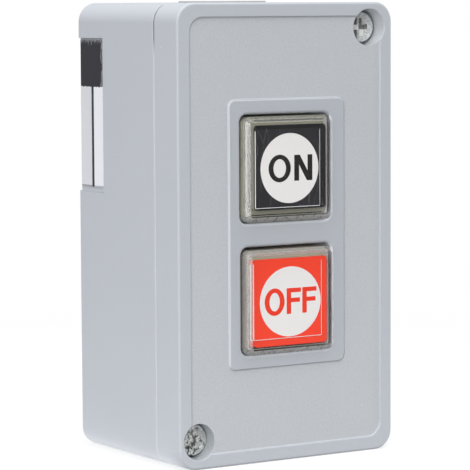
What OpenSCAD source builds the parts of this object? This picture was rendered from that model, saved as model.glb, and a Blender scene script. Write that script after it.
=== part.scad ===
// Surface-mounted pushbutton control station: an ON button above an OFF button in a grey case.
// Millimetres. X runs to the right, Z up, and the buttons face -Y.
// The origin is the centre of the back face, midway between the two wall holes.
// Each sub-part is drawn lying on its back, with x across, y up the case and z towards the
// buttons, and upright() stands it up.

/* [Case] */
// Width of the case
case_w = 62.5; // [60:0.5:72]
// Height of the case
case_h = 112; // [108:1:128]
// Depth of the case, from the wall to the rim of the cover
case_d = 48; // [47:0.5:54]
// Depth of the cover
cover_d = 10.6; // [10.2:0.1:11.4]
// Height of the seam between box and cover, which the seal fills
seam = 0.4; // [0.3:0.05:0.6]
// Radius of the case's four long edges
corner_r = 4.8; // [4.4:0.1:6]
// Rounding of the cover's front edge
front_round = 0.7; // [0.4:0.1:1.4]
// Rounding of the box's back edge
back_round = 0.6; // [0.4:0.1:1]
// Thickness of the side walls
wall = 2.6; // [2.4:0.1:3]
// Thickness of the back wall
back_wall = 3; // [2.8:0.1:3.6]
// Height of the tongue on the box that enters the cover
tongue_h = 1.4; // [1:0.1:1.8]
// Thickness of that tongue
tongue_t = 1.2; // [1:0.05:1.3]

/* [Cover face] */
// Width of the smooth rim round the grained field
rim_w = 3.5; // [3:0.1:4]
// Depth of the grained field below the rim
field_depth = 0.6; // [0.4:0.1:1]
// Corner radius of the field
field_r = 3.6; // [2:0.2:5]
// Thickness of the cover under the field
face_t = 2.4; // [2:0.1:2.8]
// Width of the smooth panel at the sides of the buttons
panel_side = 3.65; // [3:0.05:4]
// Width of the smooth panel above and below the buttons
panel_end = 3.4; // [3:0.1:5]
// Corner radius of that panel
panel_r = 1.8; // [1:0.2:3]

/* [Buttons] */
// Distance between the centres of the two buttons
button_pitch = 32.2; // [31.8:0.1:34]
// Side of each square opening in the cover
opening = 26.4; // [26:0.1:26.8]
// Corner radius of each opening
opening_r = 2; // [1.6:0.1:2.6]
// Gap between a cap and its opening, all round
cap_gap = 0.4; // [0.3:0.05:0.6]
// How far each cap stands in front of the rim
cap_proud = 2.4; // [1:0.1:3]
// Rounding of the front edge of each cap
cap_round = 1; // [0.4:0.1:1.1]
// Wall thickness of the clear caps
cap_wall = 1.3; // [1.2:0.05:1.5]
// Thickness of their clear front
cap_face = 2.2; // [1.4:0.1:2.4]
// Travel of each button when it is pressed
travel = 3.5; // [3:0.1:3.8]
// Side of the coloured plate behind the ON cap
on_plate_side = 20.6; // [20:0.1:21.8]
// Side of the coloured plate behind the OFF cap
off_plate_side = 21.4; // [20:0.1:21.8]
// Thickness of that plate
plate_t = 1.6; // [1.2:0.1:2]
// Width of the printed film in front of the ON plate
on_film_w = 18.95; // [18:0.05:19.4]
// Height of that film
on_film_h = 19.1; // [18:0.1:19.8]
// Width of the printed film in front of the OFF plate
off_film_w = 19.6; // [18:0.1:19.8]
// Height of that film
off_film_h = 18.9; // [18:0.1:19.2]
// Thickness of the printed film
film_t = 0.15; // [0.1:0.05:0.3]
// Depth of the sleeves that guide the buttons, from the rim inwards
sleeve_d = 10; // [9.6:0.1:10.6]
// Wall thickness of those sleeves
sleeve_wall = 1.6; // [1.4:0.1:1.8]
// Thickness of the flange that stops each button in its sleeve
flange_t = 1.5; // [1.2:0.1:2]
// Diameter of the stem that works the contact block
stem_d = 8; // [7:0.5:9]

/* [Cover screws] */
// Distance of each cover screw from the two nearest edges
screw_inset = 6.3; // [6.2:0.1:7]
// Shank diameter of the cover screws
screw_d = 3.5; // [3:0.1:3.8]
// Length of the cover screws under the head
screw_len = 12; // [10:0.5:12.5]
// Diameter of their heads
screw_head_d = 7.6; // [6.8:0.1:7.8]
// Height of their heads
screw_head_h = 2.4; // [2:0.1:2.6]
// Depth of the heads below the rim
screw_sink = 3.8; // [1.4:0.1:4]
// Diameter of the well round each head
well_d = 8.8; // [8.4:0.1:9.4]
// Outer diameter of the threaded brass inserts
insert_d = 5; // [4.8:0.1:5.4]
// Length of those inserts
insert_len = 8; // [6:0.5:9]

/* [Wall and cable] */
// Distance between the two wall holes
wall_hole_pitch = 90; // [84:1:92]
// Diameter of the wall holes
wall_hole_d = 4.6; // [4:0.1:5.5]
// Diameter of the bore that the cable runs through
cable_d = 10; // [6:0.5:11]
// Outer diameter of the grommet's flange
grommet_d = 22; // [20:0.5:24]
// How far the grommet's flange stands above the case
grommet_proud = 0.4; // [0.2:0.1:0.6]
// Height of the recess for the label on the left side
label_h = 38.3; // [30:0.1:42]
// Depth of that recess, from the wall forwards
label_w = 12.3; // [10:0.1:16]
// Distance from the top of the case to that recess
label_drop = 8.7; // [8:0.1:16]

/* [Contact blocks] */
// Width of each contact block
block_w = 46; // [45:0.5:50]
// Height of each contact block
block_h = 29.2; // [28.8:0.1:30.4]
// Depth of each contact block
block_d = 19; // [18.6:0.1:19.6]
// Height of the posts that carry the blocks
post_h = 3; // [2.6:0.1:3.4]
// Width of the plunger inside the block
plunger_w = 12; // [11:0.1:12.2]
// Side of the plunger's square shaft
shaft_w = 8; // [7:0.1:8.4]
// Travel of the moving contact bridge
bridge_travel = 2.45; // [2.2:0.05:2.5]
// Thickness of the moving contact bridge
bridge_t = 0.8; // [0.6:0.05:1]
// Thickness of the fixed contact straps
strap_t = 1; // [0.8:0.05:1.1]
// Diameter of the silver contact tips
tip_d = 3; // [2.4:0.1:3.1]
// Thickness of the silver contact tips
tip_t = 0.6; // [0.4:0.05:0.7]
// Shank diameter of the terminal screws
terminal_d = 3.5; // [3:0.1:3.8]
// Wire diameter of the return springs
return_wire = 0.55; // [0.4:0.05:0.6]
// Turns of the return springs
return_turns = 4; // [3:0.5:4.5]
// Wire diameter of the contact springs
contact_wire = 0.35; // [0.3:0.05:0.4]
// Turns of the contact springs
contact_turns = 2.5; // [2:0.5:2.5]

/* [Hidden] */
$fn = 96;

// Clearances
cut = 0.5;
seat_gap = 0.05;
play = 0.1;
slip = 0.3;
thread_gap = 0.05;

// Colours, as shares of full brightness
case_grey = [0.72, 0.74, 0.77];
rubber_grey = [0.45, 0.44, 0.43];
zinc = [0.78, 0.79, 0.8];
brass = [0.8, 0.66, 0.32];
silver = [0.86, 0.86, 0.84];
spring_steel = [0.6, 0.61, 0.63];
natural_plastic = [0.83, 0.81, 0.7];
clear_plastic = [0.8, 0.82, 0.78, 0.35];
legend_black = [0.12, 0.12, 0.13];
legend_red = [0.93, 0.22, 0.12];
film_white = [0.92, 0.9, 0.88];
label_silver = [0.86, 0.87, 0.89];
block_black = [0.16, 0.15, 0.15];
lid_white = [0.85, 0.84, 0.8];

// Case
box_d = case_d - cover_d - seam;
cavity_r = corner_r - wall;
cover_z = box_d + seam;
tongue_inset = wall - tongue_t;
tongue_gap = 0.15;
seal_inset = 0.3;
cover_ceiling = case_d - field_depth - face_t;

// Cover screws, at the upper right and the lower left
screw_seat = case_d - screw_sink - screw_head_h;
screw_side_share = 0.75;
screw_hole_d = screw_d + 2 * slip;
cross_w_share = 0.17;
cross_len_share = 0.62;
cross_depth_share = 0.5;
box_boss_d = 9;
cover_boss_d = well_d + wall;
insert_hole_d = insert_d + 2 * thread_gap;
insert_sink = 0.1;

// Grommet and knockout, on the middle of the box's depth
entry_z = box_d / 2;
entry_recess = 1;
grommet_neck_wall = 3.4;
entry_hole_d = cable_d + 2 * grommet_neck_wall;
grommet_neck_d = entry_hole_d - 2 * play;
grommet_lip = 2;
grommet_lip_t = 1.5;
grommet_nozzle_wall = 1.6;
grommet_nozzle_len = 3.4;
grommet_len = wall + grommet_lip_t + grommet_nozzle_len;
knockout_groove_w = 1;
knockout_groove_depth = 1.2;

// Label on the left side
label_recess = 0.8;
label_t = 0.25;
label_margin = 0.35;
label_foot_margin = 1.2;

// Buttons
cap_side = opening - 2 * cap_gap;
cap_r = opening_r - cap_gap;
cap_top = case_d + cap_proud;
cap_inner_z = cap_top - cap_face;
film_z = cap_inner_z - seat_gap - film_t;
plate_z = film_z - plate_t;
plate_r = 0.9;
film_r = 0.3;
cap_inner_side = cap_side - 2 * cap_wall;
// How far each plate leans to the right and up, as shares of the room that its cap leaves it
on_plate_lean_shares = [0.26, 0];
off_plate_lean_shares = [0.26, -0.88];
on_film_shift = [-0.6, -0.28];
off_film_shift = [-0.55, -0.18];
sleeve_end = case_d - sleeve_d;
flange_top = sleeve_end - play;
flange_z = flange_top - flange_t;
flange_side = opening + 2 * sleeve_wall - 2 * cap_gap;
core_side = cap_inner_side - 2 * play;
core_wall = 1.6;
core_r = cap_r;

// Contact block, from the wall outwards
block_z = back_wall + post_h;
block_top = block_z + block_d;
block_r = 1.2;
lid_t = 2;
lid_z = block_top - lid_t;
lid_gap = 0.2;
floor_t = 1.5;
pit_floor = block_z + floor_t;
plunger_h = 10;
spring_pocket = 1.5;
plunger_web = 1;
window_h = 6;
plunger_head = 1.9;
plunger_body = spring_pocket + plunger_web + window_h + plunger_head;
plunger_z = lid_z - play - plunger_body;
shaft_reserve = 0.5;
plunger_top = block_top + travel + shaft_reserve;
window_z = plunger_z + spring_pocket + plunger_web;
return_d = 7;
contact_d = 3.2;

// Bridge and straps: the bridge rests on the normally closed pair and travels to the other
bridge_w = 4;
bridge_len = 19;
tip_x = 8;
bridge_z = window_z + (window_h - bridge_t) / 2;
window_w = bridge_w + 2 * slip;
closed_z = bridge_z + bridge_t + 2 * tip_t + seat_gap;
open_z = bridge_z - 2 * tip_t - seat_gap - bridge_travel - strap_t;
terminal_room = 8.8;
chamber_w = block_w - 2 * terminal_room;
chamber_h = 13.2;
mouth_lip = 1.2;
strap_gap = 0.4;
strap_w = 4.4;
neck_w = 3.6;
tongue_x = plunger_w / 2 + strap_gap;
neck_x = chamber_w / 2 - strap_gap;
neck_y = chamber_h / 2 - strap_gap;
rib_w = 5.2;
pad_x = chamber_w / 2 + lid_gap;
pad_y = rib_w / 2 + lid_gap;
pad_len = block_w / 2 - 2 * slip - pad_x;
pad_h = 8.6;
riser_t = strap_t;

// Terminals and fixings
terminal_shift = 0.2;
terminal_x = pad_x + pad_len / 2 + terminal_shift;
terminal_y = pad_y + pad_h / 2;
washer_side = 7.4;
washer_t = 0.9;
terminal_head_d = 6.8;
terminal_head_h = 2.2;
terminal_len = 9;
terminal_well = 1;
fixing_y = 11.2;
fixing_d = 3;
fixing_head_d = 5;
fixing_head_h = 2;
fixing_floor = 4;
fixing_seat = block_z + fixing_floor;
fixing_len = 8.5;
fixing_gap = 0.2;
post_d = 7.5;
rail_w = 2;
rail_x = 20;
rail_len = 60;

spring_sides = 6;
spring_rings = 8;

// Stands a sub-part that was drawn lying on its back
module upright() rotate([90, 0, 0]) children();

// Moves a button's piece to the upper place (1) or the lower place (-1)
module at_button(place) translate([0, place * button_pitch / 2, 0]) children();

// Repeats a piece on the other side of the block's middle
module both_sides() {
    children();
    mirror([1, 0, 0]) children();
}

// Flat rectangle with round corners
module soft_rect(w, h, r) {
    square([w - 2 * r, h], center = true);
    square([w, h - 2 * r], center = true);
    for (sx = [-1, 1], sy = [-1, 1])
        translate([sx * (w / 2 - r), sy * (h / 2 - r)]) circle(r);
}

// Rounded rectangle raised from z0 to z1
module soft_slab(w, h, r, z0, z1) translate([0, 0, z0]) linear_extrude(z1 - z0) soft_rect(w, h, r);

// Plain box between two corners
module slab(x0, x1, y0, y1, z0, z1) translate([x0, y0, z0]) cube([x1 - x0, y1 - y0, z1 - z0]);

// Plain box round the middle
module mid_slab(w, h, z0, z1) slab(-w / 2, w / 2, -h / 2, h / 2, z0, z1);

// Half of a section: len wide from the axis and d high, its outer upper corner rounded
module edge_profile(len, d, edge) {
    square([len - edge, d]);
    square([len, d - edge]);
    intersection() {
        square([len, d]);
        translate([len - edge, d - edge]) circle(edge);
    }
}

// Rounded block on z = 0 whose front edge is rounded as well. Its pieces meet face to face:
// each half has a middle, one side and two quarter-round corners.
module soft_block(w, h, d, r, edge) {
    for (a = [0, 180]) rotate([0, 0, a]) {
        translate([r - w / 2, 0, 0])
            rotate([90, 0, 90]) linear_extrude(w - 2 * r) edge_profile(h / 2, d, edge);
        translate([w / 2 - r, h / 2 - r, 0])
            rotate([90, 0, 0]) linear_extrude(h - 2 * r) edge_profile(r, d, edge);
        for (s = [-1, 1])
            translate([s * (w / 2 - r), h / 2 - r, 0])
                rotate([0, 0, s > 0 ? 0 : 90]) rotate_extrude(angle = 90) edge_profile(r, d, edge);
    }
}

// Ring that follows the case's outline, between two insets
module outline_ring(outer, inner, z0, z1) {
    translate([0, 0, z0]) linear_extrude(z1 - z0) difference() {
        soft_rect(case_w - 2 * outer, case_h - 2 * outer, corner_r - outer);
        soft_rect(case_w - 2 * inner, case_h - 2 * inner, corner_r - inner);
    }
}

// Puts a piece at each cover screw
module at_screws() {
    for (s = [-1, 1])
        translate([s * (case_w / 2 - screw_inset), s * (case_h / 2 - screw_inset), 0]) children();
}

// Pan-head screw with a cross recess, its seat at z = 0 and its shank towards the wall
module pan_screw(d, len, head_d, head_h) {
    side = head_h * screw_side_share;
    dome_r = (pow(head_d / 2, 2) + pow(head_h - side, 2)) / (2 * (head_h - side));
    translate([0, 0, -len]) cylinder(d = d, h = len + seat_gap);
    difference() {
        intersection() {
            cylinder(d = head_d, h = head_h);
            translate([0, 0, head_h - dome_r]) sphere(dome_r);
        }
        for (turn = [0, 90])
            rotate(turn) mid_slab(head_d * cross_len_share, head_d * cross_w_share,
                                  head_h * (1 - cross_depth_share), head_h + cut);
    }
}

module rear_box() color(case_grey) difference() {
    union() {
        difference() {
            union() {
                translate([0, 0, box_d]) mirror([0, 0, 1])
                    soft_block(case_w, case_h, box_d, corner_r, back_round);
                outline_ring(tongue_inset, wall, box_d - cut, box_d + tongue_h);
            }
            soft_slab(case_w - 2 * wall, case_h - 2 * wall, cavity_r, back_wall, case_d);
        }
        at_screws() translate([0, 0, back_wall - cut]) cylinder(d = box_boss_d, h = box_d - back_wall + cut);
        for (place = [-1, 1], end = [-1, 1])
            at_button(place) translate([0, end * fixing_y, back_wall - cut])
                cylinder(d = post_d, h = post_h + cut);
        both_sides()
            slab(rail_x - rail_w / 2, rail_x + rail_w / 2, -rail_len / 2, rail_len / 2,
                 back_wall - cut, block_z);
    }
    at_screws() translate([0, 0, box_d - insert_sink - insert_len])
        cylinder(d = insert_hole_d, h = insert_len + insert_sink + cut);
    for (place = [-1, 1], end = [-1, 1])
        at_button(place) translate([0, end * fixing_y, fixing_seat - fixing_len - play])
            cylinder(d = fixing_d + 2 * thread_gap, h = block_z);
    for (end = [-1, 1])
        translate([0, end * wall_hole_pitch / 2, -cut]) cylinder(d = wall_hole_d, h = back_wall + 2 * cut);
    translate([0, case_h / 2, entry_z]) rotate([90, 0, 0]) {
        translate([0, 0, -cut]) cylinder(d = entry_hole_d, h = wall + 2 * cut);
        translate([0, 0, -cut]) cylinder(d = grommet_d + 2 * play, h = entry_recess + cut);
    }
    translate([0, -case_h / 2 - cut, entry_z]) rotate([-90, 0, 0])
        linear_extrude(knockout_groove_depth + cut) difference() {
            circle(d = entry_hole_d);
            circle(d = entry_hole_d - 2 * knockout_groove_w);
        }
    slab(-case_w / 2 - cut, -case_w / 2 + label_recess,
         case_h / 2 - label_drop - label_h, case_h / 2 - label_drop, -cut, label_w);
}

module front_cover() color(case_grey) difference() {
    union() {
        difference() {
            translate([0, 0, cover_z]) soft_block(case_w, case_h, cover_d, corner_r, front_round);
            soft_slab(case_w - 2 * wall, case_h - 2 * wall, cavity_r, 0, cover_ceiling);
        }
        at_screws() translate([0, 0, cover_z]) cylinder(d = cover_boss_d, h = cover_ceiling - cover_z + cut);
        for (place = [-1, 1])
            at_button(place) soft_slab(opening + 2 * sleeve_wall, opening + 2 * sleeve_wall,
                opening_r + sleeve_wall, sleeve_end, cover_ceiling + cut);
    }
    outline_ring(tongue_inset - tongue_gap, wall + tongue_gap, 0, box_d + tongue_h + tongue_gap);
    for (place = [-1, 1])
        at_button(place) soft_slab(opening, opening, opening_r, 0, case_d + cut);
    at_screws() {
        cylinder(d = screw_hole_d, h = case_d);
        translate([0, 0, screw_seat]) cylinder(d = well_d, h = case_d);
    }
    translate([0, 0, case_d - field_depth]) linear_extrude(field_depth + cut) difference() {
        soft_rect(case_w - 2 * rim_w, case_h - 2 * rim_w, field_r);
        soft_rect(opening + 2 * panel_side, button_pitch + opening + 2 * panel_end, panel_r);
    }
}

module cover_gasket() color(rubber_grey) outline_ring(seal_inset, tongue_inset - play, box_d, cover_z);

module cover_screws() color(zinc) at_screws()
    translate([0, 0, screw_seat]) pan_screw(screw_d, screw_len, screw_head_d, screw_head_h);

module screw_inserts() color(brass) at_screws()
    translate([0, 0, box_d - insert_sink - insert_len]) difference() {
        cylinder(d = insert_d, h = insert_len);
        translate([0, 0, -cut]) cylinder(d = screw_d + 2 * thread_gap, h = insert_len + 2 * cut);
    }

// Drawn about its own axis, then turned to hang from the top wall
module cable_grommet() color(rubber_grey)
    translate([0, case_h / 2, entry_z]) rotate([90, 0, 0]) difference() {
        union() {
            translate([0, 0, -grommet_proud]) cylinder(d = grommet_d, h = entry_recess + grommet_proud);
            cylinder(d = grommet_neck_d, h = wall + play + cut);
            translate([0, 0, wall + play])
                cylinder(d = entry_hole_d + 2 * grommet_lip, h = grommet_lip_t);
            cylinder(d = cable_d + 2 * grommet_nozzle_wall, h = grommet_len);
        }
        translate([0, 0, -grommet_proud - cut])
            cylinder(d = cable_d, h = grommet_len + grommet_proud + 2 * cut);
    }

module rating_label() color(label_silver)
    slab(-case_w / 2 + label_recess - label_t, -case_w / 2 + label_recess,
         case_h / 2 - label_drop - label_h + label_foot_margin, case_h / 2 - label_drop - label_margin,
         label_margin, label_w - label_margin);

module cap() color(clear_plastic) difference() {
    translate([0, 0, flange_top])
        soft_block(cap_side, cap_side, cap_top - flange_top, cap_r, cap_round);
    soft_slab(cap_inner_side, cap_inner_side, cap_r - cap_wall + play,
              flange_top - cut, cap_inner_z);
}

module film(w, h, shift) color(film_white) translate([shift.x, shift.y, 0])
    soft_slab(w, h, film_r, film_z, film_z + film_t);

module legend_plate(tint, side, lean_shares) color(tint)
    translate(lean_shares * (cap_inner_side - side) / 2)
        soft_slab(side, side, plate_r, plate_z, plate_z + plate_t);

// Hollow from behind, with the flange that stops it and the stem that works the block
module carrier() color(natural_plastic) {
    difference() {
        union() {
            soft_slab(flange_side, flange_side, core_r, flange_z, flange_top);
            soft_slab(core_side, core_side, plate_r, flange_z, plate_z);
        }
        soft_slab(core_side - 2 * core_wall, core_side - 2 * core_wall, plate_r,
                  flange_z - cut, plate_z - core_wall);
    }
    translate([0, 0, plunger_top + play])
        cylinder(d = stem_d, h = plate_z - core_wall + cut - plunger_top - play);
}

// Body with the bridge's window and the spring's pocket, and the square shaft above it
module plunger() color(lid_white) difference() {
    union() {
        mid_slab(plunger_w, plunger_h, plunger_z, plunger_z + plunger_body);
        mid_slab(shaft_w, shaft_w, plunger_z + plunger_body - cut, plunger_top);
    }
    mid_slab(plunger_w + 2 * cut, window_w, window_z, window_z + window_h);
    translate([0, 0, plunger_z - cut]) cylinder(d = return_d + 2 * slip, h = spring_pocket + cut);
}

// Points of a round-wire spring that winds from z0 to z1
function spring_centre(i, turns, d, wire, z0, z1) = let (
    a = 360 * i / spring_rings,
    r = (d - wire) / 2,
    low = z0 + wire / 2 + seat_gap,
    high = z1 - wire / 2 - seat_gap
) [r * cos(a), r * sin(a), low + (high - low) * i / (turns * spring_rings)];
function spring_ring(i, turns, d, wire, z0, z1) = let (
    c = spring_centre(i, turns, d, wire, z0, z1),
    a = 360 * i / spring_rings
) [for (k = [0 : spring_sides - 1]) let (b = 360 * k / spring_sides)
    c + wire / 2 * [cos(b) * cos(a), cos(b) * sin(a), sin(b)]];
function spring_gap(turns, d, wire, z0, z1) = min([
    for (i = [0 : turns * spring_rings - spring_rings])
        norm(spring_centre(i + spring_rings, turns, d, wire, z0, z1)
             - spring_centre(i, turns, d, wire, z0, z1)) - wire
]);

module spring(turns, d, wire, z0, z1) {
    last = turns * spring_rings;
    n = spring_sides;
    polyhedron(
        points = [for (i = [0 : last]) each spring_ring(i, turns, d, wire, z0, z1)],
        faces = concat(
            [[for (k = [0 : n - 1]) k]],
            [for (i = [0 : last - 1], k = [0 : n - 1]) let (m = (k + 1) % n)
                [i * n + k, (i + 1) * n + k, (i + 1) * n + m]],
            [for (i = [0 : last - 1], k = [0 : n - 1]) let (m = (k + 1) % n)
                [i * n + k, (i + 1) * n + m, i * n + m]],
            [[for (k = [n - 1 : -1 : 0]) last * n + k]]
        )
    );
}
echo(return_spring_gap = spring_gap(return_turns, return_d, return_wire, pit_floor, plunger_z + spring_pocket));
echo(contact_spring_gap = spring_gap(contact_turns, contact_d, contact_wire, window_z, bridge_z));

module return_spring() color(spring_steel)
    spring(return_turns, return_d, return_wire, pit_floor, plunger_z + spring_pocket);

module contact_springs() color(spring_steel) {
    spring(contact_turns, contact_d, contact_wire, window_z, bridge_z);
    spring(contact_turns, contact_d, contact_wire, bridge_z + bridge_t, window_z + window_h);
}

module bridge() {
    color(brass) mid_slab(bridge_len, bridge_w, bridge_z, bridge_z + bridge_t);
    color(silver) both_sides() translate([tip_x, 0, bridge_z - tip_t]) {
        cylinder(d = tip_d, h = tip_t);
        translate([0, 0, tip_t + bridge_t]) cylinder(d = tip_d, h = tip_t);
    }
}

module block_housing() color(block_black) difference() {
    soft_slab(block_w, block_h, block_r, block_z, block_top);
    soft_slab(chamber_w + 2 * mouth_lip, chamber_h + 2 * mouth_lip, block_r, lid_z, block_top + cut);
    mid_slab(chamber_w, chamber_h, open_z, block_top);
    mid_slab(plunger_w + 2 * slip, plunger_h + 2 * slip, pit_floor, block_top);
    both_sides() for (half = [0, 1]) mirror([0, half, 0]) {
        slab(chamber_w / 2 - cut, block_w, rib_w / 2, pad_y + pad_h + lid_gap, closed_z, block_top + cut);
        translate([terminal_x, terminal_y, closed_z + strap_t + washer_t - terminal_len - terminal_well])
            cylinder(d = terminal_d + 2 * slip, h = terminal_len + terminal_well);
    }
    for (end = [-1, 1]) translate([0, end * fixing_y, 0]) {
        translate([0, 0, block_z - cut]) cylinder(d = fixing_d + 2 * fixing_gap, h = block_d);
        translate([0, 0, fixing_seat]) cylinder(d = fixing_head_d + 2 * fixing_gap, h = block_d);
    }
}

module block_lid() color(lid_white) difference() {
    soft_slab(chamber_w + 2 * mouth_lip - 2 * lid_gap, chamber_h + 2 * mouth_lip - 2 * lid_gap,
              block_r - lid_gap, lid_z, block_top);
    mid_slab(shaft_w + 2 * slip, shaft_w + 2 * slip, lid_z - cut, block_top + cut);
}

// Terminal pad with its screw hole, from the chamber wall outwards
module strap_pad() difference() {
    slab(pad_x, pad_x + pad_len, pad_y, pad_y + pad_h, closed_z, closed_z + strap_t);
    translate([terminal_x, terminal_y, closed_z - cut])
        cylinder(d = terminal_d + 2 * thread_gap, h = strap_t + 2 * cut);
}

// Upper pair of straps, which the bridge touches at rest
module nc_contacts() both_sides() {
    color(brass) union() {
        slab(tongue_x, neck_x, -strap_w / 2, strap_w / 2, closed_z, closed_z + strap_t);
        slab(neck_x - neck_w, neck_x, 0, neck_y, closed_z, closed_z + strap_t);
        slab(neck_x - neck_w, pad_x + cut, pad_y, neck_y, closed_z, closed_z + strap_t);
        strap_pad();
    }
    color(silver) translate([tip_x, 0, closed_z - tip_t]) cylinder(d = tip_d, h = tip_t);
}

// Lower pair of straps, which rise to pads on the other half of the block
module no_contacts() both_sides() {
    color(brass) mirror([0, 1, 0]) union() {
        slab(tongue_x, neck_x, -strap_w / 2, strap_w / 2, open_z, open_z + strap_t);
        slab(neck_x - neck_w, neck_x, 0, neck_y, open_z, open_z + strap_t);
        slab(neck_x - riser_t, neck_x, pad_y, neck_y, open_z, closed_z + strap_t);
        slab(neck_x - riser_t, pad_x + cut, pad_y, neck_y, closed_z, closed_z + strap_t);
        strap_pad();
    }
    color(silver) translate([tip_x, 0, open_z + strap_t]) cylinder(d = tip_d, h = tip_t);
}

// Puts a piece at each of a block's four terminals
module at_terminals() {
    for (sx = [-1, 1], sy = [-1, 1])
        translate([sx * terminal_x, sy * terminal_y, closed_z + strap_t]) children();
}

module terminal_washers() color(zinc) at_terminals() difference() {
    mid_slab(washer_side, washer_side, 0, washer_t);
    translate([0, 0, -cut]) cylinder(d = terminal_d + 2 * fixing_gap, h = washer_t + 2 * cut);
}

module terminal_screws() color(zinc) at_terminals()
    translate([0, 0, washer_t]) pan_screw(terminal_d, terminal_len, terminal_head_d, terminal_head_h);

module block_screws() color(zinc) for (end = [-1, 1])
    translate([0, end * fixing_y, fixing_seat])
        pan_screw(fixing_d, fixing_len, fixing_head_d, fixing_head_h);

upright() rear_box();
upright() front_cover();
upright() cover_gasket();
upright() cover_screws();
upright() screw_inserts();
upright() cable_grommet();
upright() rating_label();
upright() at_button(1) cap();  // on_cap
upright() at_button(1) film(on_film_w, on_film_h, on_film_shift);  // on_film
upright() at_button(1)  // on_plate
    legend_plate(legend_black, on_plate_side, on_plate_lean_shares);
upright() at_button(1) carrier();  // on_carrier
upright() at_button(1) plunger();  // on_plunger
upright() at_button(1) return_spring();  // on_return_spring
upright() at_button(1) contact_springs();  // on_contact_springs
upright() at_button(1) bridge();  // on_bridge
upright() at_button(1) block_housing();  // on_block_housing
upright() at_button(1) block_lid();  // on_block_lid
upright() at_button(1) nc_contacts();  // on_nc_contacts
upright() at_button(1) no_contacts();  // on_no_contacts
upright() at_button(1) terminal_washers();  // on_terminal_washers
upright() at_button(1) terminal_screws();  // on_terminal_screws
upright() at_button(1) block_screws();  // on_block_screws
upright() at_button(-1) cap();  // off_cap
upright() at_button(-1) film(off_film_w, off_film_h, off_film_shift);  // off_film
upright() at_button(-1)  // off_plate
    legend_plate(legend_red, off_plate_side, off_plate_lean_shares);
upright() at_button(-1) carrier();  // off_carrier
upright() at_button(-1) plunger();  // off_plunger
upright() at_button(-1) return_spring();  // off_return_spring
upright() at_button(-1) contact_springs();  // off_contact_springs
upright() at_button(-1) bridge();  // off_bridge
upright() at_button(-1) block_housing();  // off_block_housing
upright() at_button(-1) block_lid();  // off_block_lid
upright() at_button(-1) nc_contacts();  // off_nc_contacts
upright() at_button(-1) no_contacts();  // off_no_contacts
upright() at_button(-1) terminal_washers();  // off_terminal_washers
upright() at_button(-1) terminal_screws();  // off_terminal_screws
upright() at_button(-1) block_screws();  // off_block_screws
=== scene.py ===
# %% [markdown]
# # Dressing a pushbutton control station
# The object is a small grey case with a screwed cover and two square buttons under clear caps.
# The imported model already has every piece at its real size. It could be rendered as it is, but its
# edges are perfectly sharp and its colours flat, which no moulded part is. So each piece that
# shows is modelled again here with Blender's own tools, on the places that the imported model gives,
# and the pieces inside keep their solids and get a finish.

import math

import bmesh
import bpy
from mathutils import Matrix, Vector


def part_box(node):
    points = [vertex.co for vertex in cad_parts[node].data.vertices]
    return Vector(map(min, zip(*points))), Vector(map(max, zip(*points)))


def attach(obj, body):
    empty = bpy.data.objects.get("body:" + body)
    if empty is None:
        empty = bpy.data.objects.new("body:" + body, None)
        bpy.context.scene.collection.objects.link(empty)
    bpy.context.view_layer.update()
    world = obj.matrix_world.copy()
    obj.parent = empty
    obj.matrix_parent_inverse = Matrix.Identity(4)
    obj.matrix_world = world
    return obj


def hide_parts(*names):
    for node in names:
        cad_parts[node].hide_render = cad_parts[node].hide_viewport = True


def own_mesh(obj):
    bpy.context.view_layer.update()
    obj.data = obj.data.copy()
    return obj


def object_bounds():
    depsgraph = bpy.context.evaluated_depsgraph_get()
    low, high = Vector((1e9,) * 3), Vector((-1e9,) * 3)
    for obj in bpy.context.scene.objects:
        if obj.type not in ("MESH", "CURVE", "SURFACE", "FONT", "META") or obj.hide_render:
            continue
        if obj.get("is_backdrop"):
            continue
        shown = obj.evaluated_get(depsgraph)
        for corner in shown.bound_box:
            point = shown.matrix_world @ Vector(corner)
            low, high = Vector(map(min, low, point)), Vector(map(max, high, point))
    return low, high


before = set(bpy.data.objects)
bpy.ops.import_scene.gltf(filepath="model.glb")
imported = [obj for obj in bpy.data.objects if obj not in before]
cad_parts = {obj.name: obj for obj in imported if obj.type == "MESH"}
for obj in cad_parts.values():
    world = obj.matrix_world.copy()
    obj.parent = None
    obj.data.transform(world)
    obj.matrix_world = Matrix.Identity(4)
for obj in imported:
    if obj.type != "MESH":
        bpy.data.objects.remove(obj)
cad_low, cad_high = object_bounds()
mm = 0.001

# %% [markdown]
# ## Camera
# A picture is easiest to compare when the camera stands where the photographer's did. Its place
# could be found by trial, but solving the perspective of the case's edges once gives the focal
# length, the place and the three angles together, so they are simply written down here.

# %% Camera at the photograph's angle
photo_side = 470
focal_pixels = 2563.7
camera_place = Vector((-345.6, -566.2, 55.1)) * mm
camera_yaw, camera_pitch, camera_roll = 32.515, -5.103, -0.29


def put_in_scene(name, data):
    """Makes an object of a mesh, a camera or a light and puts it in the scene."""
    made = bpy.data.objects.new(name, data)
    bpy.context.scene.collection.objects.link(made)
    return made


camera_data = bpy.data.cameras.new("camera")
camera = put_in_scene("camera", camera_data)
camera_data.sensor_width = 36
camera_data.lens = focal_pixels / photo_side * camera_data.sensor_width
camera_data.clip_start = 10 * mm
turn = (Matrix.Rotation(math.radians(-camera_yaw), 4, "Z")
        @ Matrix.Rotation(math.radians(90 + camera_pitch), 4, "X")
        @ Matrix.Rotation(math.radians(camera_roll), 4, "Z"))
camera.matrix_world = Matrix.Translation(camera_place) @ turn
bpy.context.scene.camera = camera
print("lens in millimetres:", round(camera_data.lens, 1))

# %% [markdown]
# ## Selecting by place
# By hand, edges are picked with the mouse. In a script they are picked by a test on where they
# lie, which has the same effect and can be repeated. A few helpers cover nearly all of the work:
# one opens a piece for editing, one picks, one rounds what it picked, and one cuts or joins two
# solids.

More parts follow.
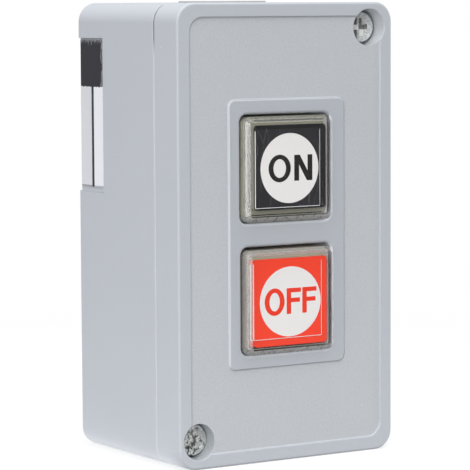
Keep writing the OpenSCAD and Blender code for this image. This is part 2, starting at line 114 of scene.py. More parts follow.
# %% Helpers for picking
near = 0.02 * mm
fold_angle = math.radians(30)
axis_index = {"x": 0, "y": 1, "z": 2}


def only(piece):
    """Makes piece the one selected and active object."""
    bpy.ops.object.select_all(action="DESELECT")
    piece.select_set(True)
    bpy.context.view_layer.objects.active = piece


def open_piece(piece):
    """Goes into edit mode with all of piece selected."""
    only(piece)
    bpy.ops.object.mode_set(mode="EDIT")
    bpy.ops.mesh.select_all(action="SELECT")


def close_piece():
    bpy.ops.object.mode_set(mode="OBJECT")


def pick(piece, kind, test):
    """Goes into edit mode with only those edges or faces selected that pass the test."""
    open_piece(piece)
    bpy.ops.mesh.select_mode(type=kind)
    bpy.ops.mesh.select_all(action="DESELECT")
    shape = bmesh.from_edit_mesh(piece.data)
    chosen = [item for item in (shape.edges if kind == "EDGE" else shape.faces) if test(item)]
    for item in chosen:
        item.select_set(True)
    bmesh.update_edit_mesh(piece.data)
    return len(chosen)


def lies_on(axis, value):
    """A test: all corners of the edge or face are on the plane where axis is value."""
    i = axis_index[axis]
    return lambda item: all(abs(v.co[i] - value) < near for v in item.verts)


def runs_along(axis):
    """A test: the edge is parallel to axis."""
    i = axis_index[axis]
    return lambda edge: abs((edge.verts[1].co - edge.verts[0].co).normalized()[i]) > 0.999


def is_fold(edge):
    """A test: the two faces at the edge meet at a clear angle."""
    return len(edge.link_faces) == 2 and edge.calc_face_angle() > fold_angle


print("two places are the same within", near / mm, "mm")

# %% Helpers for rounding and combining
def round_edges(piece, radius, steps, test):
    """Bevels the edges that pass the test and says how many they were."""
    count = pick(piece, "EDGE", test)
    if count:
        bpy.ops.mesh.bevel(offset=radius, segments=steps, profile=0.5, affect="EDGES",
                           clamp_overlap=False)
    close_piece()
    return count


def combine(piece, tool, operation="DIFFERENCE"):
    """Cuts tool out of piece, or joins it to piece, and removes the tool."""
    only(piece)
    step = piece.modifiers.new("combine", "BOOLEAN")
    step.operation = operation
    step.object = tool
    step.solver = "EXACT"
    bpy.ops.object.modifier_apply(modifier=step.name)
    bpy.data.objects.remove(tool, do_unlink=True)
    return piece


print("tools so far: pick, round, combine")

# %% [markdown]
# ## Blanks
# Nearly every piece starts as a blank, as in a workshop: a block, a plate with rounded corners or
# a round bar. Each is a primitive that is added at its size and place, and its place then goes
# into its mesh, so that the object itself stays at the origin.

# %% Helpers for blanks
def settle(name):
    """Names the newest primitive and puts its place, turn and size into its mesh."""
    piece = bpy.context.active_object
    piece.name = name
    bpy.ops.object.transform_apply(location=True, rotation=True, scale=True)
    return piece


def block(name, low, high):
    """A cube that fills the space from low to high."""
    low, high = Vector(low), Vector(high)
    bpy.ops.object.select_all(action="DESELECT")
    bpy.ops.mesh.primitive_cube_add(size=1, location=(low + high) / 2, scale=high - low)
    return settle(name)


def slab(name, centre, width, height, y_front, y_back, corner=0.0, steps=8):
    """A plate that faces the viewer, with rounded corners; centre is its x and z."""
    half = Vector((width / 2, 0, height / 2))
    middle = Vector((centre[0], 0, centre[1]))
    piece = block(name, middle - half + Vector((0, y_front, 0)),
                  middle + half + Vector((0, y_back, 0)))
    if corner:
        round_edges(piece, corner, steps, runs_along("y"))
    return piece


def round_bar(name, radius, length, middle, sides, lying=True):
    """A round bar that points at the viewer, or stands upright where lying is False."""
    bpy.ops.object.select_all(action="DESELECT")
    bpy.ops.mesh.primitive_cylinder_add(vertices=sides, radius=radius, depth=length,
                                        location=middle,
                                        rotation=(math.radians(90) if lying else 0, 0, 0))
    return settle(name)


def pillar(name, centre, radius, y_front, y_back, sides=48):
    """A round bar that points at the viewer; centre is its x and z."""
    middle = (centre[0], (y_front + y_back) / 2, centre[1])
    return round_bar(name, radius, y_back - y_front, middle, sides)


def middle_of(low, high):
    """The x and z in the middle between two corners."""
    return (low.x + high.x) / 2, (low.z + high.z) / 2


def moved(centre, shift):
    return centre[0] + shift[0], centre[1] + shift[1]


print("blanks: block, slab, pillar")

# %% [markdown]
# ## Finishing a piece
# A moulded part looks smooth on its faces and crisp on its edges. Shading smooth everywhere would
# bend the light on the flat faces, so edges sharper than an angle stay sharp and the Weighted
# Normal modifier makes the large faces decide the shading. Then the piece is told what it rides
# on and which solids it takes the place of.

# %% Helpers that finish a piece
def finish_piece(piece, body, materials, slot, *nodes, angle=40):
    """Cleans and shades piece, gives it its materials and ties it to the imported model."""
    open_piece(piece)
    bpy.ops.mesh.remove_doubles(threshold=0.0005 * mm)
    bpy.ops.mesh.normals_make_consistent(inside=False)
    close_piece()
    bpy.ops.object.shade_smooth_by_angle(angle=math.radians(angle), keep_sharp_edges=True)
    step = piece.modifiers.new("weighted", "WEIGHTED_NORMAL")
    step.keep_sharp = True
    bpy.ops.object.modifier_apply(modifier=step.name)
    for material in materials:
        piece.data.materials.append(material)
    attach(piece, body)
    if nodes:
        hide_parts(*nodes)
    print(piece.name, "faces:", len(piece.data.polygons))


def paint_faces(piece, index, test):
    """Gives the faces that pass the test the material at that index."""
    count = 0
    for face in piece.data.polygons:
        if test(face):
            face.material_index = index
            count += 1
    return count


print("helpers for finishing: finish_piece, paint_faces")

# %% [markdown]
# ## Groups that several finishes share
# Mottling, fine grain, scratches and specks turn up in nearly every material. A node group keeps
# each effect in one place: it is built once, and every material puts it in with its own numbers.
# Nodes could each be added and linked line by line. A few short helpers make them read like
# sums instead.

# %% Helpers for shader nodes
def add(tree, kind, settings=None, **inputs):
    """Adds a node, sets its settings, and sets or links its inputs by name, or by i and number."""
    made = tree.nodes.new("ShaderNode" + kind)
    for key, value in (settings or {}).items():
        setattr(made, key, value)
    for key, value in inputs.items():
        numbered = key[:1] == "i" and key[1:].isdigit()
        socket = made.inputs[int(key[1:]) if numbered else key.replace("_", " ")]
        if isinstance(value, bpy.types.NodeSocket):
            tree.links.new(value, socket)
        else:
            socket.default_value = value
    return made


def calc(tree, operation, *values):
    """A Math node's result."""
    inputs = {f"i{n}": value for n, value in enumerate(values)}
    return add(tree, "Math", {"operation": operation}, **inputs).outputs[0]


print("helpers for nodes: add, calc")

# %% Helpers for patterns and colours
def swing(tree, pattern, share):
    """How far a pattern is from its middle value of a half, times share."""
    return calc(tree, "MULTIPLY", calc(tree, "SUBTRACT", pattern, 0.5), share)


def ramp(tree, value, start, end, first=0.0, last=1.0, kind="SMOOTHSTEP"):
    """Goes from first to last while value goes from start to end."""
    return add(tree, "MapRange", {"interpolation_type": kind}, Value=value, From_Min=start,
               From_Max=end, To_Min=first, To_Max=last).outputs[0]


def shade(tree, colour, level):
    """The colour, lighter or darker by level."""
    return add(tree, "VectorMath", {"operation": "SCALE"}, i0=colour, Scale=level).outputs[0]


def blend(tree, share, first, second):
    """Goes from the first colour to the second while share goes from 0 to 1."""
    mixed = add(tree, "Mix", {"data_type": "RGBA"}, Factor=share, A=first, B=second)
    return mixed.outputs["Result"]


def place_in(tree):
    """The place on the object."""
    return add(tree, "TexCoord").outputs["Object"]


def parts_of(tree, place):
    return add(tree, "SeparateXYZ", Vector=place).outputs


def noise(tree, place, scale, detail=2.0, **more):
    return add(tree, "TexNoise", Vector=place, Scale=scale, Detail=detail, **more).outputs["Fac"]


print("helpers for patterns: swing, ramp, noise")

# %% Helper for groups
def new_group(name, inputs, outputs):
    """An empty shader group with named number or colour inputs and outputs."""
    group = bpy.data.node_groups.new(name, "ShaderNodeTree")
    for label, value in inputs.items():
        kind = "NodeSocketColor" if isinstance(value, tuple) else "NodeSocketFloat"
        socket = group.interface.new_socket(label, in_out="INPUT", socket_type=kind)
        socket.default_value = value
    for label, kind in outputs.items():
        group.interface.new_socket(label, in_out="OUTPUT", socket_type=kind)
    return group, group.nodes.new("NodeGroupInput"), group.nodes.new("NodeGroupOutput")


print("shared effects get a group each")

# %% The group for a moulded skin
per_metre = 1000.0
mottle_scale = 45.0
skin, skin_in, skin_out = new_group(
    "moulded_skin",
    {"Colour": (0.5, 0.5, 0.5, 1), "Mottle": 0.02, "Grain Size": 0.3, "Grain Shade": 0.02,
     "Gloss": 0.4, "Gloss Change": 0.05},
    {"Base Color": "NodeSocketColor", "Roughness": "NodeSocketFloat",
     "Height": "NodeSocketFloat"})
asked = skin_in.outputs
place = place_in(skin)
broad = noise(skin, place, mottle_scale)
grain_scale = calc(skin, "DIVIDE", per_metre, asked["Grain Size"])
grain = noise(skin, place, grain_scale, 3.0, Roughness=0.6)
level = calc(skin, "ADD", 1.0, calc(skin, "ADD", swing(skin, broad, asked["Mottle"]),
                                    swing(skin, grain, asked["Grain Shade"])))
rough = calc(skin, "ADD", asked["Gloss"], swing(skin, broad, asked["Gloss Change"]))
skin.links.new(shade(skin, asked["Colour"], level), skin_out.inputs["Base Color"])
skin.links.new(rough, skin_out.inputs["Roughness"])
skin.links.new(grain, skin_out.inputs["Height"])
print("group:", skin.name, "nodes:", len(skin.nodes))

# %% The group for handling marks
wander_scale = 120.0
wander_reach = 4 * mm
scratch_turn = (0.3, 0.7, 0.4)
scratch_stretch = (1.0, 1.0, 0.05)
scratch_width = 0.012
bare_share = 0.75
patch_scale = 260.0
marks, marks_in, marks_out = new_group(
    "handling_marks",
    {"Scratch Size": 3.0, "Scratch Share": 0.1, "Speck Size": 6.0, "Speck Share": 0.03},
    {"Scratches": "NodeSocketFloat", "Specks": "NodeSocketFloat"})
asked = marks_in.outputs
place = place_in(marks)
wander = add(marks, "TexNoise", Vector=place, Scale=wander_scale, Detail=1.0).outputs["Color"]
bent = add(marks, "VectorMath", {"operation": "MULTIPLY_ADD"}, i0=wander, i1=[wander_reach] * 3,
           i2=place).outputs[0]
drawn = add(marks, "Mapping", Vector=bent, Rotation=scratch_turn, Scale=scratch_stretch).outputs[0]
scratch_scale = calc(marks, "DIVIDE", per_metre, asked["Scratch Size"])
lines = add(marks, "TexVoronoi", {"feature": "DISTANCE_TO_EDGE"}, Vector=drawn, Scale=scratch_scale)
thin = calc(marks, "LESS_THAN", lines.outputs["Distance"], scratch_width)
least = calc(marks, "SUBTRACT", bare_share, asked["Scratch Share"])
some = calc(marks, "GREATER_THAN", noise(marks, place, patch_scale), least)
speck_scale = calc(marks, "DIVIDE", per_metre, asked["Speck Size"])
cells = add(marks, "TexVoronoi", Vector=place, Scale=speck_scale)
spot = calc(marks, "LESS_THAN", cells.outputs["Distance"], asked["Speck Share"])
marks.links.new(calc(marks, "MULTIPLY", thin, some), marks_out.inputs["Scratches"])
marks.links.new(spot, marks_out.inputs["Specks"])
print("group:", marks.name, "nodes:", len(marks.nodes))

# %% [markdown]
# ## Materials
# Every finish starts from the Principled shader. What stays the same all over a surface is set on
# the shader's own socket, and only what changes from place to place comes through the groups.

# %% The material maker
speck_shade = 0.45


def new_material(name, colour, gloss, grain_size=0.3, grain_shade=0.01, grain_depth=0.0,
                 mottle=0.03, gloss_change=0.06, specks=0.0, scratches=0.0, scratch_shade=1.15,
                 **plain):
    """A Principled material with the shared groups wired in; sizes are in millimetres."""
    material = bpy.data.materials.new(name)
    material.use_nodes = True
    tree = material.node_tree
    shader = tree.nodes["Principled BSDF"]
    surface = add(tree, "Group", {"node_tree": skin}, Colour=(*colour, 1), Mottle=mottle,
                  Grain_Size=grain_size, Grain_Shade=grain_shade, Gloss=gloss,
                  Gloss_Change=gloss_change).outputs
    tint = surface["Base Color"]
    if specks or scratches:
        wear = add(tree, "Group", {"node_tree": marks}, Speck_Share=specks,
                   Scratch_Share=scratches).outputs
        dark = calc(tree, "MULTIPLY_ADD", wear["Specks"], -speck_shade, 1.0)
        tint = shade(tree, tint, calc(tree, "MULTIPLY_ADD", wear["Scratches"],
                                      scratch_shade - 1, dark))
    tree.links.new(tint, shader.inputs["Base Color"])
    tree.links.new(surface["Roughness"], shader.inputs["Roughness"])
    if grain_depth:
        bump = add(tree, "Bump", Height=surface["Height"], Distance=grain_depth * mm, Strength=1.0)
        tree.links.new(bump.outputs[0], shader.inputs["Normal"])
    for key, value in plain.items():
        shader.inputs[key.replace("_", " ")].default_value = value
    return material


def paint_over(material, share, colour):
    """Blends colour over what the material's Base Color already gets."""
    tree = material.node_tree
    socket = tree.nodes["Principled BSDF"].inputs["Base Color"]
    tree.links.new(blend(tree, share, socket.links[0].from_socket, colour), socket)


print("every finish can use:", skin.name, "and", marks.name)

# %% Finishes of the case and the screws
moulded = {"grain_size": 0.5, "specks": 0.015}
smooth_case = new_material("case_smooth", (0.485, 0.51, 0.545), 0.32, grain_depth=0.002, **moulded)
# the panel's own darker tone, also used as painted shade on the lower well's wall
panel_and_painted_shade_case = new_material("case_panel_and_painted_shade", (0.45, 0.475, 0.505), 0.32, grain_depth=0.002, **moulded)
# a lighter tone that is painted light, for faces that pale surroundings light
painted_light_case = new_material("case_painted_light", (0.60, 0.625, 0.65), 0.32)
grained_case = new_material("case_grained", (0.49, 0.51, 0.535), 0.55, grain_shade=0.3,
                            grain_depth=0.04, **moulded)
grommet_rubber = new_material("grommet_rubber", (0.36, 0.37, 0.385), 0.6, grain_depth=0.004)
zinc = new_material("zinc_plate", (0.80, 0.81, 0.80), 0.3, mottle=0.2, gloss_change=0.2,
                    scratches=0.12, grain_depth=0.10, grain_size=0.5, grain_shade=1.3, Metallic=0.4)
# the lower head's zinc, which gets painted highlights and dark painted reflections
reflection_painted_zinc = new_material("zinc_painted_reflections", (0.66, 0.67, 0.65), 0.3, mottle=0.3, gloss_change=0.2,
                           grain_depth=0.15, grain_size=0.7, grain_shade=0.8, Metallic=0.35)
# white painted highlight for the recess walls and the heads' lower right edge
painted_highlight_zinc = new_material("zinc_painted_highlight", (1.0, 1.0, 0.98), 0.4, mottle=0.3, grain_size=0.6,
                           grain_shade=1.0, Metallic=0.1)
# dark painted shade for the recess's deep floors
painted_shade_zinc = new_material("zinc_painted_shade", (0.27, 0.275, 0.27), 0.4, mottle=0.3, grain_size=0.7,
                         grain_shade=3.0, Metallic=0.6)
print("materials:", len(bpy.data.materials))

# %% Finishes of the buttons and the pieces inside
brass = new_material("brass", (0.72, 0.52, 0.24), 0.28, mottle=0.1, gloss_change=0.2, Metallic=1.0)
spring_steel = new_material("spring_steel", (0.5, 0.5, 0.52), 0.3, mottle=0.1, Metallic=1.0)
on_carrier = new_material("carrier_olive", (0.44, 0.43, 0.36), 0.5, mottle=0.3, grain_shade=0.1)
off_carrier = new_material("carrier_beige", (0.60, 0.55, 0.44), 0.5, mottle=0.2, grain_shade=0.05)
black_plastic = new_material("block_black", (0.02, 0.02, 0.022), 0.45, mottle=0.2,
                             grain_depth=0.003)
white_plastic = new_material("lid_white", (0.72, 0.71, 0.67), 0.45, mottle=0.04)
on_black = new_material("plate_black", (0.017, 0.017, 0.019), 0.4, mottle=0.4, scratches=0.2,
                        scratch_shade=6.0)
off_red = new_material("plate_red", (1.0, 0.058, 0.023), 0.4, mottle=0.05, scratches=0.05,
                       scratch_shade=1.2)
film_black = new_material("film_black", (0.028, 0.027, 0.030), 0.35, mottle=1.0, scratches=0.3,
                          scratch_shade=3.5)
film_red = new_material("film_red", (1.0, 0.058, 0.023), 0.35, mottle=0.05, scratches=0.05)
# a pale tint that is a painted highlight of the films' cut edges
film_edge_painted_highlight = new_material("film_edge_painted_highlight", (0.92, 0.92, 0.92), 0.3, mottle=0.15)
ink_white = new_material("ink_white", (0.86, 0.835, 0.82), 0.5, mottle=0.02)
ink_black = new_material("ink_black", (0.011, 0.008, 0.006), 0.5, mottle=0.1)
ink_red = new_material("ink_red", (0.88, 0.036, 0.009), 0.5, mottle=0.04)
print("materials:", len(bpy.data.materials))

# %% [markdown]
# ## A seal with a painted shadow at one corner
# The seal is light where the cover squeezes it out. At the upper left, where it has drawn in, the
# shadow in its groove is painted dark onto the rubber. Two pieces of rubber could be modelled, but
# it's one ring, so the painted shadow changes with the place on it.

# %% The seal's material
# the colour of the painted shadow in the seam's groove
painted_seam_shadow = (0.09, 0.095, 0.10, 1)
seam_shadow_z = (45 * mm, 48.5 * mm)
seam_shadow_x = (-22 * mm, 4 * mm)
ragged_reach = 3 * mm
seal_rubber = new_material("seal_rubber", (0.62, 0.64, 0.66), 0.5, grain_depth=0.004)
tree = seal_rubber.node_tree
place = place_in(tree)
parts = parts_of(tree, place)
ragged = calc(tree, "MULTIPLY_ADD", noise(tree, place, 300.0, 1.0), ragged_reach, parts["Z"])
# where the painted shadow lies: full near the top, fading out towards the right
seam_shadow_share = calc(tree, "MULTIPLY", ramp(tree, ragged, *seam_shadow_z),
                ramp(tree, parts["X"], *seam_shadow_x, 1.0, 0.0))
paint_over(seal_rubber, seam_shadow_share, painted_seam_shadow)
print("seal nodes:", len(tree.nodes))

# %% [markdown]
# ## Painted light and shade on the screw heads
# The left half of the upper head gets a painted shadow, where the well's lip shades it, and the
# lower head gets painted highlights and dark painted reflections side by side. Marks that small
# could be sculpted, but from a step away only their shade is seen, so a noise that fades out towards
# the right paints them.

# %% Painted light and shade on the screws
def paint_light_and_shade_patches(material, colour, full_x, none_x, patch_size, sharp, share):
    """Paints patches of colour that stand for light and shade over material, full at full_x and gone
    at none_x, in mm.
    """
    tree = material.node_tree
    place = place_in(tree)
    patches = swing(tree, noise(tree, place, per_metre / patch_size), sharp)
    fading = ramp(tree, parts_of(tree, place)["X"], full_x * mm, none_x * mm, share, -0.5, "LINEAR")
    amount = add(tree, "Clamp", Value=calc(tree, "ADD", patches, fading)).outputs[0]
    paint_over(material, amount, (*colour, 1))


# painted shadow of the well's lip on the upper head's left half
paint_light_and_shade_patches(zinc, (0.17, 0.175, 0.17), 23.1, 23.7, 0.8, 1.0, 1.2)
# painted highlights on the lower head
paint_light_and_shade_patches(reflection_painted_zinc, (1.0, 1.0, 0.97), -26.0, -20.8, 1.2, 12.0, 0.55)
# dark painted reflections on the lower head
paint_light_and_shade_patches(reflection_painted_zinc, (0.15, 0.155, 0.14), -26.5, -22.3, 0.9, 10.0, 0.2)
print("painted_light_and_shade_on:", zinc.name, reflection_painted_zinc.name)

# %% [markdown]
# ## Clear plastic
# The caps are clear mouldings: their faces are polished, their walls hazy and faintly tinted. A
# renderer has trouble sending light through glass, so everything behind it turns out too dark. The
# usual cure is to let the rays that only carry light, and aren't seen, pass straight through: the
# Light Path node tells which ones they are.

# %% The clear materials
def let_light_through(tree, tint, shader):
    """Mixes in plain transparency for the rays that carry light and aren't seen."""
    rays = add(tree, "LightPath").outputs
    unseen = calc(tree, "MAXIMUM", rays["Is Shadow Ray"], rays["Is Diffuse Ray"])
    through = add(tree, "BsdfTransparent", Color=(*(0.5 + 0.5 * share for share in tint), 1))
    mixed = add(tree, "MixShader", i0=unseen, i1=shader.outputs[0], i2=through.outputs[0])
    tree.links.new(mixed.outputs[0], tree.nodes["Material Output"].inputs["Surface"])


def clear_material(name, tint, gloss, ripple, clearness=1.0, ripple_size=1.4, stretch=1.0,
                   bend=1.49):
    """Clear plastic: gloss and clearness say how hazy, ripple how wavy; sizes in millimetres."""
    material = bpy.data.materials.new(name)
    material.use_nodes = True
    tree = material.node_tree
    shader = tree.nodes["Principled BSDF"]
    shader.inputs["Transmission Weight"].default_value = clearness
    shader.inputs["Metallic"].default_value = 0.0
    shader.inputs["IOR"].default_value = bend
    drawn = add(tree, "Mapping", Vector=place_in(tree), Scale=(1.0, 1.0, 1.0 / stretch)).outputs[0]
    waves = noise(tree, drawn, per_metre / ripple_size, 3.0)
    tree.links.new(calc(tree, "MULTIPLY_ADD", waves, gloss, gloss / 2), shader.inputs["Roughness"])
    bump = add(tree, "Bump", Height=waves, Distance=ripple * mm, Strength=1.0)
    tree.links.new(bump.outputs[0], shader.inputs["Normal"])
    haze = calc(tree, "MULTIPLY_ADD", waves, 1.2 * (1 - clearness), 0.6 * clearness + 0.4)
    tree.links.new(shade(tree, tint, haze), shader.inputs["Base Color"])
    let_light_through(tree, tint, shader)
    return material


cut_edge = {"gloss": 0.12, "ripple": 0.08, "clearness": 0.9, "ripple_size": 0.6, "stretch": 1.5,
            "bend": 1.6}
hazy = {"gloss": 0.3, "ripple": 0.05, "ripple_size": 1.0, "stretch": 5.0}
clear_face = clear_material("clear_face", (1.0, 1.0, 0.995), 0.01, 0.002)
on_edge = clear_material("clear_edge_olive", (0.80, 0.80, 0.76), **cut_edge)
# a darker copy of the olive edge: painted shade for the ON cap's head
head_painted_shade = clear_material("clear_edge_head_painted_shade", (0.60, 0.60, 0.57), **cut_edge)
off_edge = clear_material("clear_edge_warm", (0.55, 0.54, 0.52), 0.16, 0.05, clearness=0.75,
                          ripple_size=0.7, stretch=2.0, bend=1.42)
# the right faces: the grey of the sleeve behind, lightened as painted light
right_grey_painted_light = clear_material("clear_wall_right_painted_light", (0.72, 0.72, 0.76), clearness=0.15, **hazy)
# a lighter haze at the foot: painted light
foot_painted_light = clear_material("clear_wall_foot_painted_light", (0.42, 0.42, 0.41), clearness=0.35, **hazy)
on_wall = clear_material("clear_wall_olive", (0.50, 0.49, 0.40), clearness=0.3, **hazy)
off_wall = clear_material("clear_wall_warm", (0.58, 0.55, 0.50), clearness=0.3, **hazy)
print("materials:", len(bpy.data.materials))

# %% [markdown]
# ## The cover
# The cover is one deep moulding: a rounded tray turned over, with a lowered field, a raised panel
# round the buttons and two wells for the screws. It could be built up face by face, but a mould
# maker cuts pockets out of a block, and so does this cell. Pockets are rounded before they are
# cut, which leaves fillets in their corners, and the edges that stay sharp are bevelled at the end.

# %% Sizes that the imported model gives
cover_low, cover_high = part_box("front_cover")
half_w, half_h = cover_high.x, cover_high.z
rim_y = cover_low.y
seam_front_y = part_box("cover_gasket")[0].y
seam_back_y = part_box("cover_gasket")[1].y
overrun = 1 * mm
corner_r = 4.8 * mm
corner_steps = 12
wall = 2.6 * mm
print("case in millimetres:", [round(v / mm, 2) for v in (2 * half_w, -rim_y, 2 * half_h)])

# %% Places of the buttons and the screws
button_centres = {side: middle_of(*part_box(side + "_cap")) for side in ("on", "off")}
cap_low, cap_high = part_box("on_cap")
cap_side = cap_high.x - cap_low.x
gap = 0.4 * mm
opening = cap_side + 2 * gap
opening_r = 2 * mm
pitch = button_centres["on"][1] - button_centres["off"][1]
middle_z = (button_centres["on"][1] + button_centres["off"][1]) / 2

screw_low, screw_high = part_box("cover_screws")
head_r = 3.8 * mm
head_h = 2.4 * mm
screw_places = [(screw_high.x - head_r, screw_high.z - head_r),
                (screw_low.x + head_r, screw_low.z + head_r)]
head_top_y = screw_low.y
well_floor_y = head_top_y + head_h
well_r = 4.4 * mm
print("screws at", [[round(v / mm, 2) for v in place] for place in screw_places])

# %% Cut the cover's front
rim_w = 3.5 * mm
field_depth = 0.45 * mm
field_r = 3.6 * mm
field_y = rim_y + field_depth
panel_side = 3.65 * mm
panel_end = 3.4 * mm
panel_r = 1.8 * mm
rim_round = 0.65 * mm
fine_round = 0.25 * mm

cover = block("cover", (-half_w, rim_y, -half_h), (half_w, seam_front_y, half_h))
round_edges(cover, corner_r, corner_steps, runs_along("y"))
round_edges(cover, rim_round, 5, lies_on("y", rim_y))
round_edges(cover, fine_round, 3, lies_on("y", seam_front_y))

pocket = slab("pocket", (0, 0), 2 * (half_w - rim_w), 2 * (half_h - rim_w), rim_y - overrun,
              field_y, field_r)
panel = slab("panel", (0, middle_z), opening + 2 * panel_side, pitch + opening + 2 * panel_end,
             rim_y - 2 * overrun, field_y + overrun, panel_r)
combine(pocket, panel)
round_edges(pocket, fine_round, 3, lies_on("y", field_y))
combine(cover, pocket)
print("cover edges:", len(cover.data.edges))

# %% Hollow the cover
face_t = 2.4 * mm
ceiling_y = field_y + face_t
sleeve_wall = 1.6 * mm
sleeve_end_y = rim_y + 10 * mm
sleeve_side = opening + 2 * sleeve_wall

cavity = slab("cavity", (0, 0), 2 * (half_w - wall), 2 * (half_h - wall), ceiling_y, 0,
              corner_r - wall)
for centre in button_centres.values():
    combine(cavity, slab("sleeve", centre, sleeve_side, sleeve_side, ceiling_y - overrun,
                         sleeve_end_y, opening_r + sleeve_wall))
for centre in screw_places:
    combine(cavity, pillar("boss", centre, well_r + wall / 2, ceiling_y - overrun, overrun))
combine(cover, cavity)
print("cover edges:", len(cover.data.edges))

# %% [markdown]
# On the real cover the openings and the wells aren't quite where a drawing would have them. A well
# could be cut at its nominal place, but the dark ring round the screw would then be even, and in
# the photograph it isn't. So each opening and each well is cut a few tenths of a millimetre beside
# its place, and the upper well is a little larger. The screws' holes stay on their axes.

# %% Cut the openings and the wells
opening_shift = {"on": (-0.45 * mm, -0.25 * mm), "off": (-0.25 * mm, -0.15 * mm)}
well_shift = [(-0.5 * mm, 0), (-0.6 * mm, 0.45 * mm)]
well_radii = [4.55 * mm, well_r]
shank_hole_r = 2.05 * mm

for side, shift in opening_shift.items():
    combine(cover, slab("opening", moved(button_centres[side], shift), opening, opening,
                        rim_y - overrun, 0, opening_r))
well_places = [moved(centre, shift) for centre, shift in zip(screw_places, well_shift)]
for centre, well_place, radius in zip(screw_places, well_places, well_radii):
    combine(cover, pillar("well", well_place, radius, rim_y - overrun, well_floor_y))
    combine(cover, pillar("hole", centre, shank_hole_r, well_floor_y - overrun, 0, 32))
print("cover edges:", len(cover.data.edges))

# %% [markdown]
# The rounded lip round each button is wider than the other edges: it catches the light as a soft
# band. So the edges are bevelled in groups, each picked by where it lies.

# %% Round the cover's edges
lip_round = 0.75 * mm
panel_round = 0.38 * mm
outline_w = 1.2 * mm


def near_button(edge, margin):
    """True if the edge is within one of the button openings, grown by margin."""
    reach = opening / 2 + margin
    return any(all(abs(v.co.x - x) < reach and abs(v.co.z - z) < reach for v in edge.verts)
               for x, z in button_centres.values())


def within(edge, reach_x, reach_z, z=0):
    """True if the edge is within a rectangle on the cover's middle line, at height z."""
    return all(abs(v.co.x) < reach_x and abs(v.co.z - z) < reach_z for v in edge.verts)


def on_panel(edge):
    return within(edge, opening / 2 + panel_side + near, (pitch + opening) / 2 + panel_end + near,
                  middle_z)


def on_front(edge):
    return lies_on("y", rim_y)(edge) and is_fold(edge)


lips = round_edges(cover, lip_round, 5, lambda e: on_front(e) and near_button(e, 0.5 * mm))
panel_edges = round_edges(cover, panel_round, 3, lambda e: on_front(e) and on_panel(e)
                          and not near_button(e, 1 * mm))
rim_edges = round_edges(cover, fine_round, 3, lambda e: on_front(e) and not on_panel(e)
                        and within(e, half_w - outline_w, half_h - outline_w))
print("bevelled edges:", lips, panel_edges, rim_edges)

# %% [markdown]
# ## Paint on the cover, with painted light and shade
# All of the cover is one plastic, but its field is grained by the mould and its panel is a shade
# darker. A few edges and the upper well's wall get a lighter tone as painted light, because pale
# surroundings light them, and the lower well's wall gets the panel's darker tone as painted shade.
# A light for each could do that, but it would fall on its neighbours too, so these few faces get
# their painted light and shade as another tone of the same plastic.

# %% Finish the cover and paint its faces
finish_piece(cover, "case", [smooth_case, grained_case, panel_and_painted_shade_case, painted_light_case], "case_plastic",
             "front_cover")
panel_x = opening / 2 + panel_side
spots = cover.data.vertices


def looks_forward(face, y, reach):
    """True if the face looks at the viewer and is no further than reach from y."""
    return abs(face.center.y - y) < reach and face.normal.y < -0.9


grained = paint_faces(cover, 1, lambda f: looks_forward(f, field_y, 0.1 * mm))
panel_faces = paint_faces(cover, 2, lambda f: looks_forward(f, rim_y, near) and all(
    abs(spots[i].co.x) < panel_x + near for i in f.vertices))
print("grained faces:", grained, "panel faces:", panel_faces)


def on_well_wall(place, radius):
    """A test: the face is part of the wall of the well at place."""
    return lambda f: abs(f.normal.y) < 0.3 and f.center.y < well_floor_y and math.hypot(
        f.center.x - place[0], f.center.z - place[1]) < radius + 0.1 * mm


def turned_left(face, depth):
    """True if the face is on a rounded edge no deeper than depth and looks to the left."""
    return rim_y + near < face.center.y < rim_y + depth and face.normal.x < -0.3


# painted light on the upper well's wall, the panel's left edge and the right lips; painted shade on
# the lower well's wall
lit_wall = paint_faces(cover, 3, on_well_wall(well_places[0], well_radii[0]))
shaded_wall = paint_faces(cover, 2, on_well_wall(well_places[1], well_radii[1]))
lit_edge = paint_faces(cover, 3, lambda f: turned_left(f, field_depth - near)
                       and abs(f.center.x + panel_x) < 0.4 * mm)
lit_lips = paint_faces(cover, 3, lambda f: turned_left(f, 0.7 * mm)
                       and abs(f.center.x - opening / 2) < 1 * mm)
print("wall faces:", lit_wall, shaded_wall, "lit edge faces:", lit_edge, lit_lips)

# %% [markdown]
# ## The rear box
# The box is a deep tray with the same outline. It has two bosses for the cover screws, posts and
# rails for the contact blocks, a hole for the cable with a seat for its grommet, a groove that
# marks a knockout below, and a shallow recess for the label.

# %% Cut the rear box
back_wall = 3 * mm
tongue_top_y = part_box("rear_box")[0].y
tongue_inset = 1.4 * mm
back_round = 0.6 * mm
seam_round = 0.3 * mm
screw_boss_r = 4.5 * mm

rear_box = block("box", (-half_w, seam_back_y, -half_h), (half_w, 0, half_h))
round_edges(rear_box, corner_r, corner_steps, runs_along("y"))
round_edges(rear_box, back_round, 5, lies_on("y", 0))
round_edges(rear_box, seam_round, 3, lies_on("y", seam_back_y))
tongue = slab("tongue", (0, 0), 2 * (half_w - tongue_inset), 2 * (half_h - tongue_inset),
              tongue_top_y, seam_back_y + overrun, corner_r - tongue_inset)
combine(rear_box, tongue, "UNION")

hollow = slab("hollow", (0, 0), 2 * (half_w - wall), 2 * (half_h - wall), tongue_top_y - overrun,
              -back_wall, corner_r - wall)
for centre in screw_places:
    combine(hollow, pillar("boss", centre, screw_boss_r, seam_back_y, overrun))
combine(rear_box, hollow)
print("box edges:", len(rear_box.data.edges))

# %% Holes, posts and rails of the rear box
insert_hole_r = 2.55 * mm
wall_hole_r = 2.3 * mm
wall_hole_z = 45 * mm
post_r = 3.75 * mm
pilot_r = 1.55 * mm
pilot_play = 0.1 * mm
rail_x, rail_w, rail_h = 20 * mm, 2 * mm, 60 * mm
fixing_head_r = 2.5 * mm

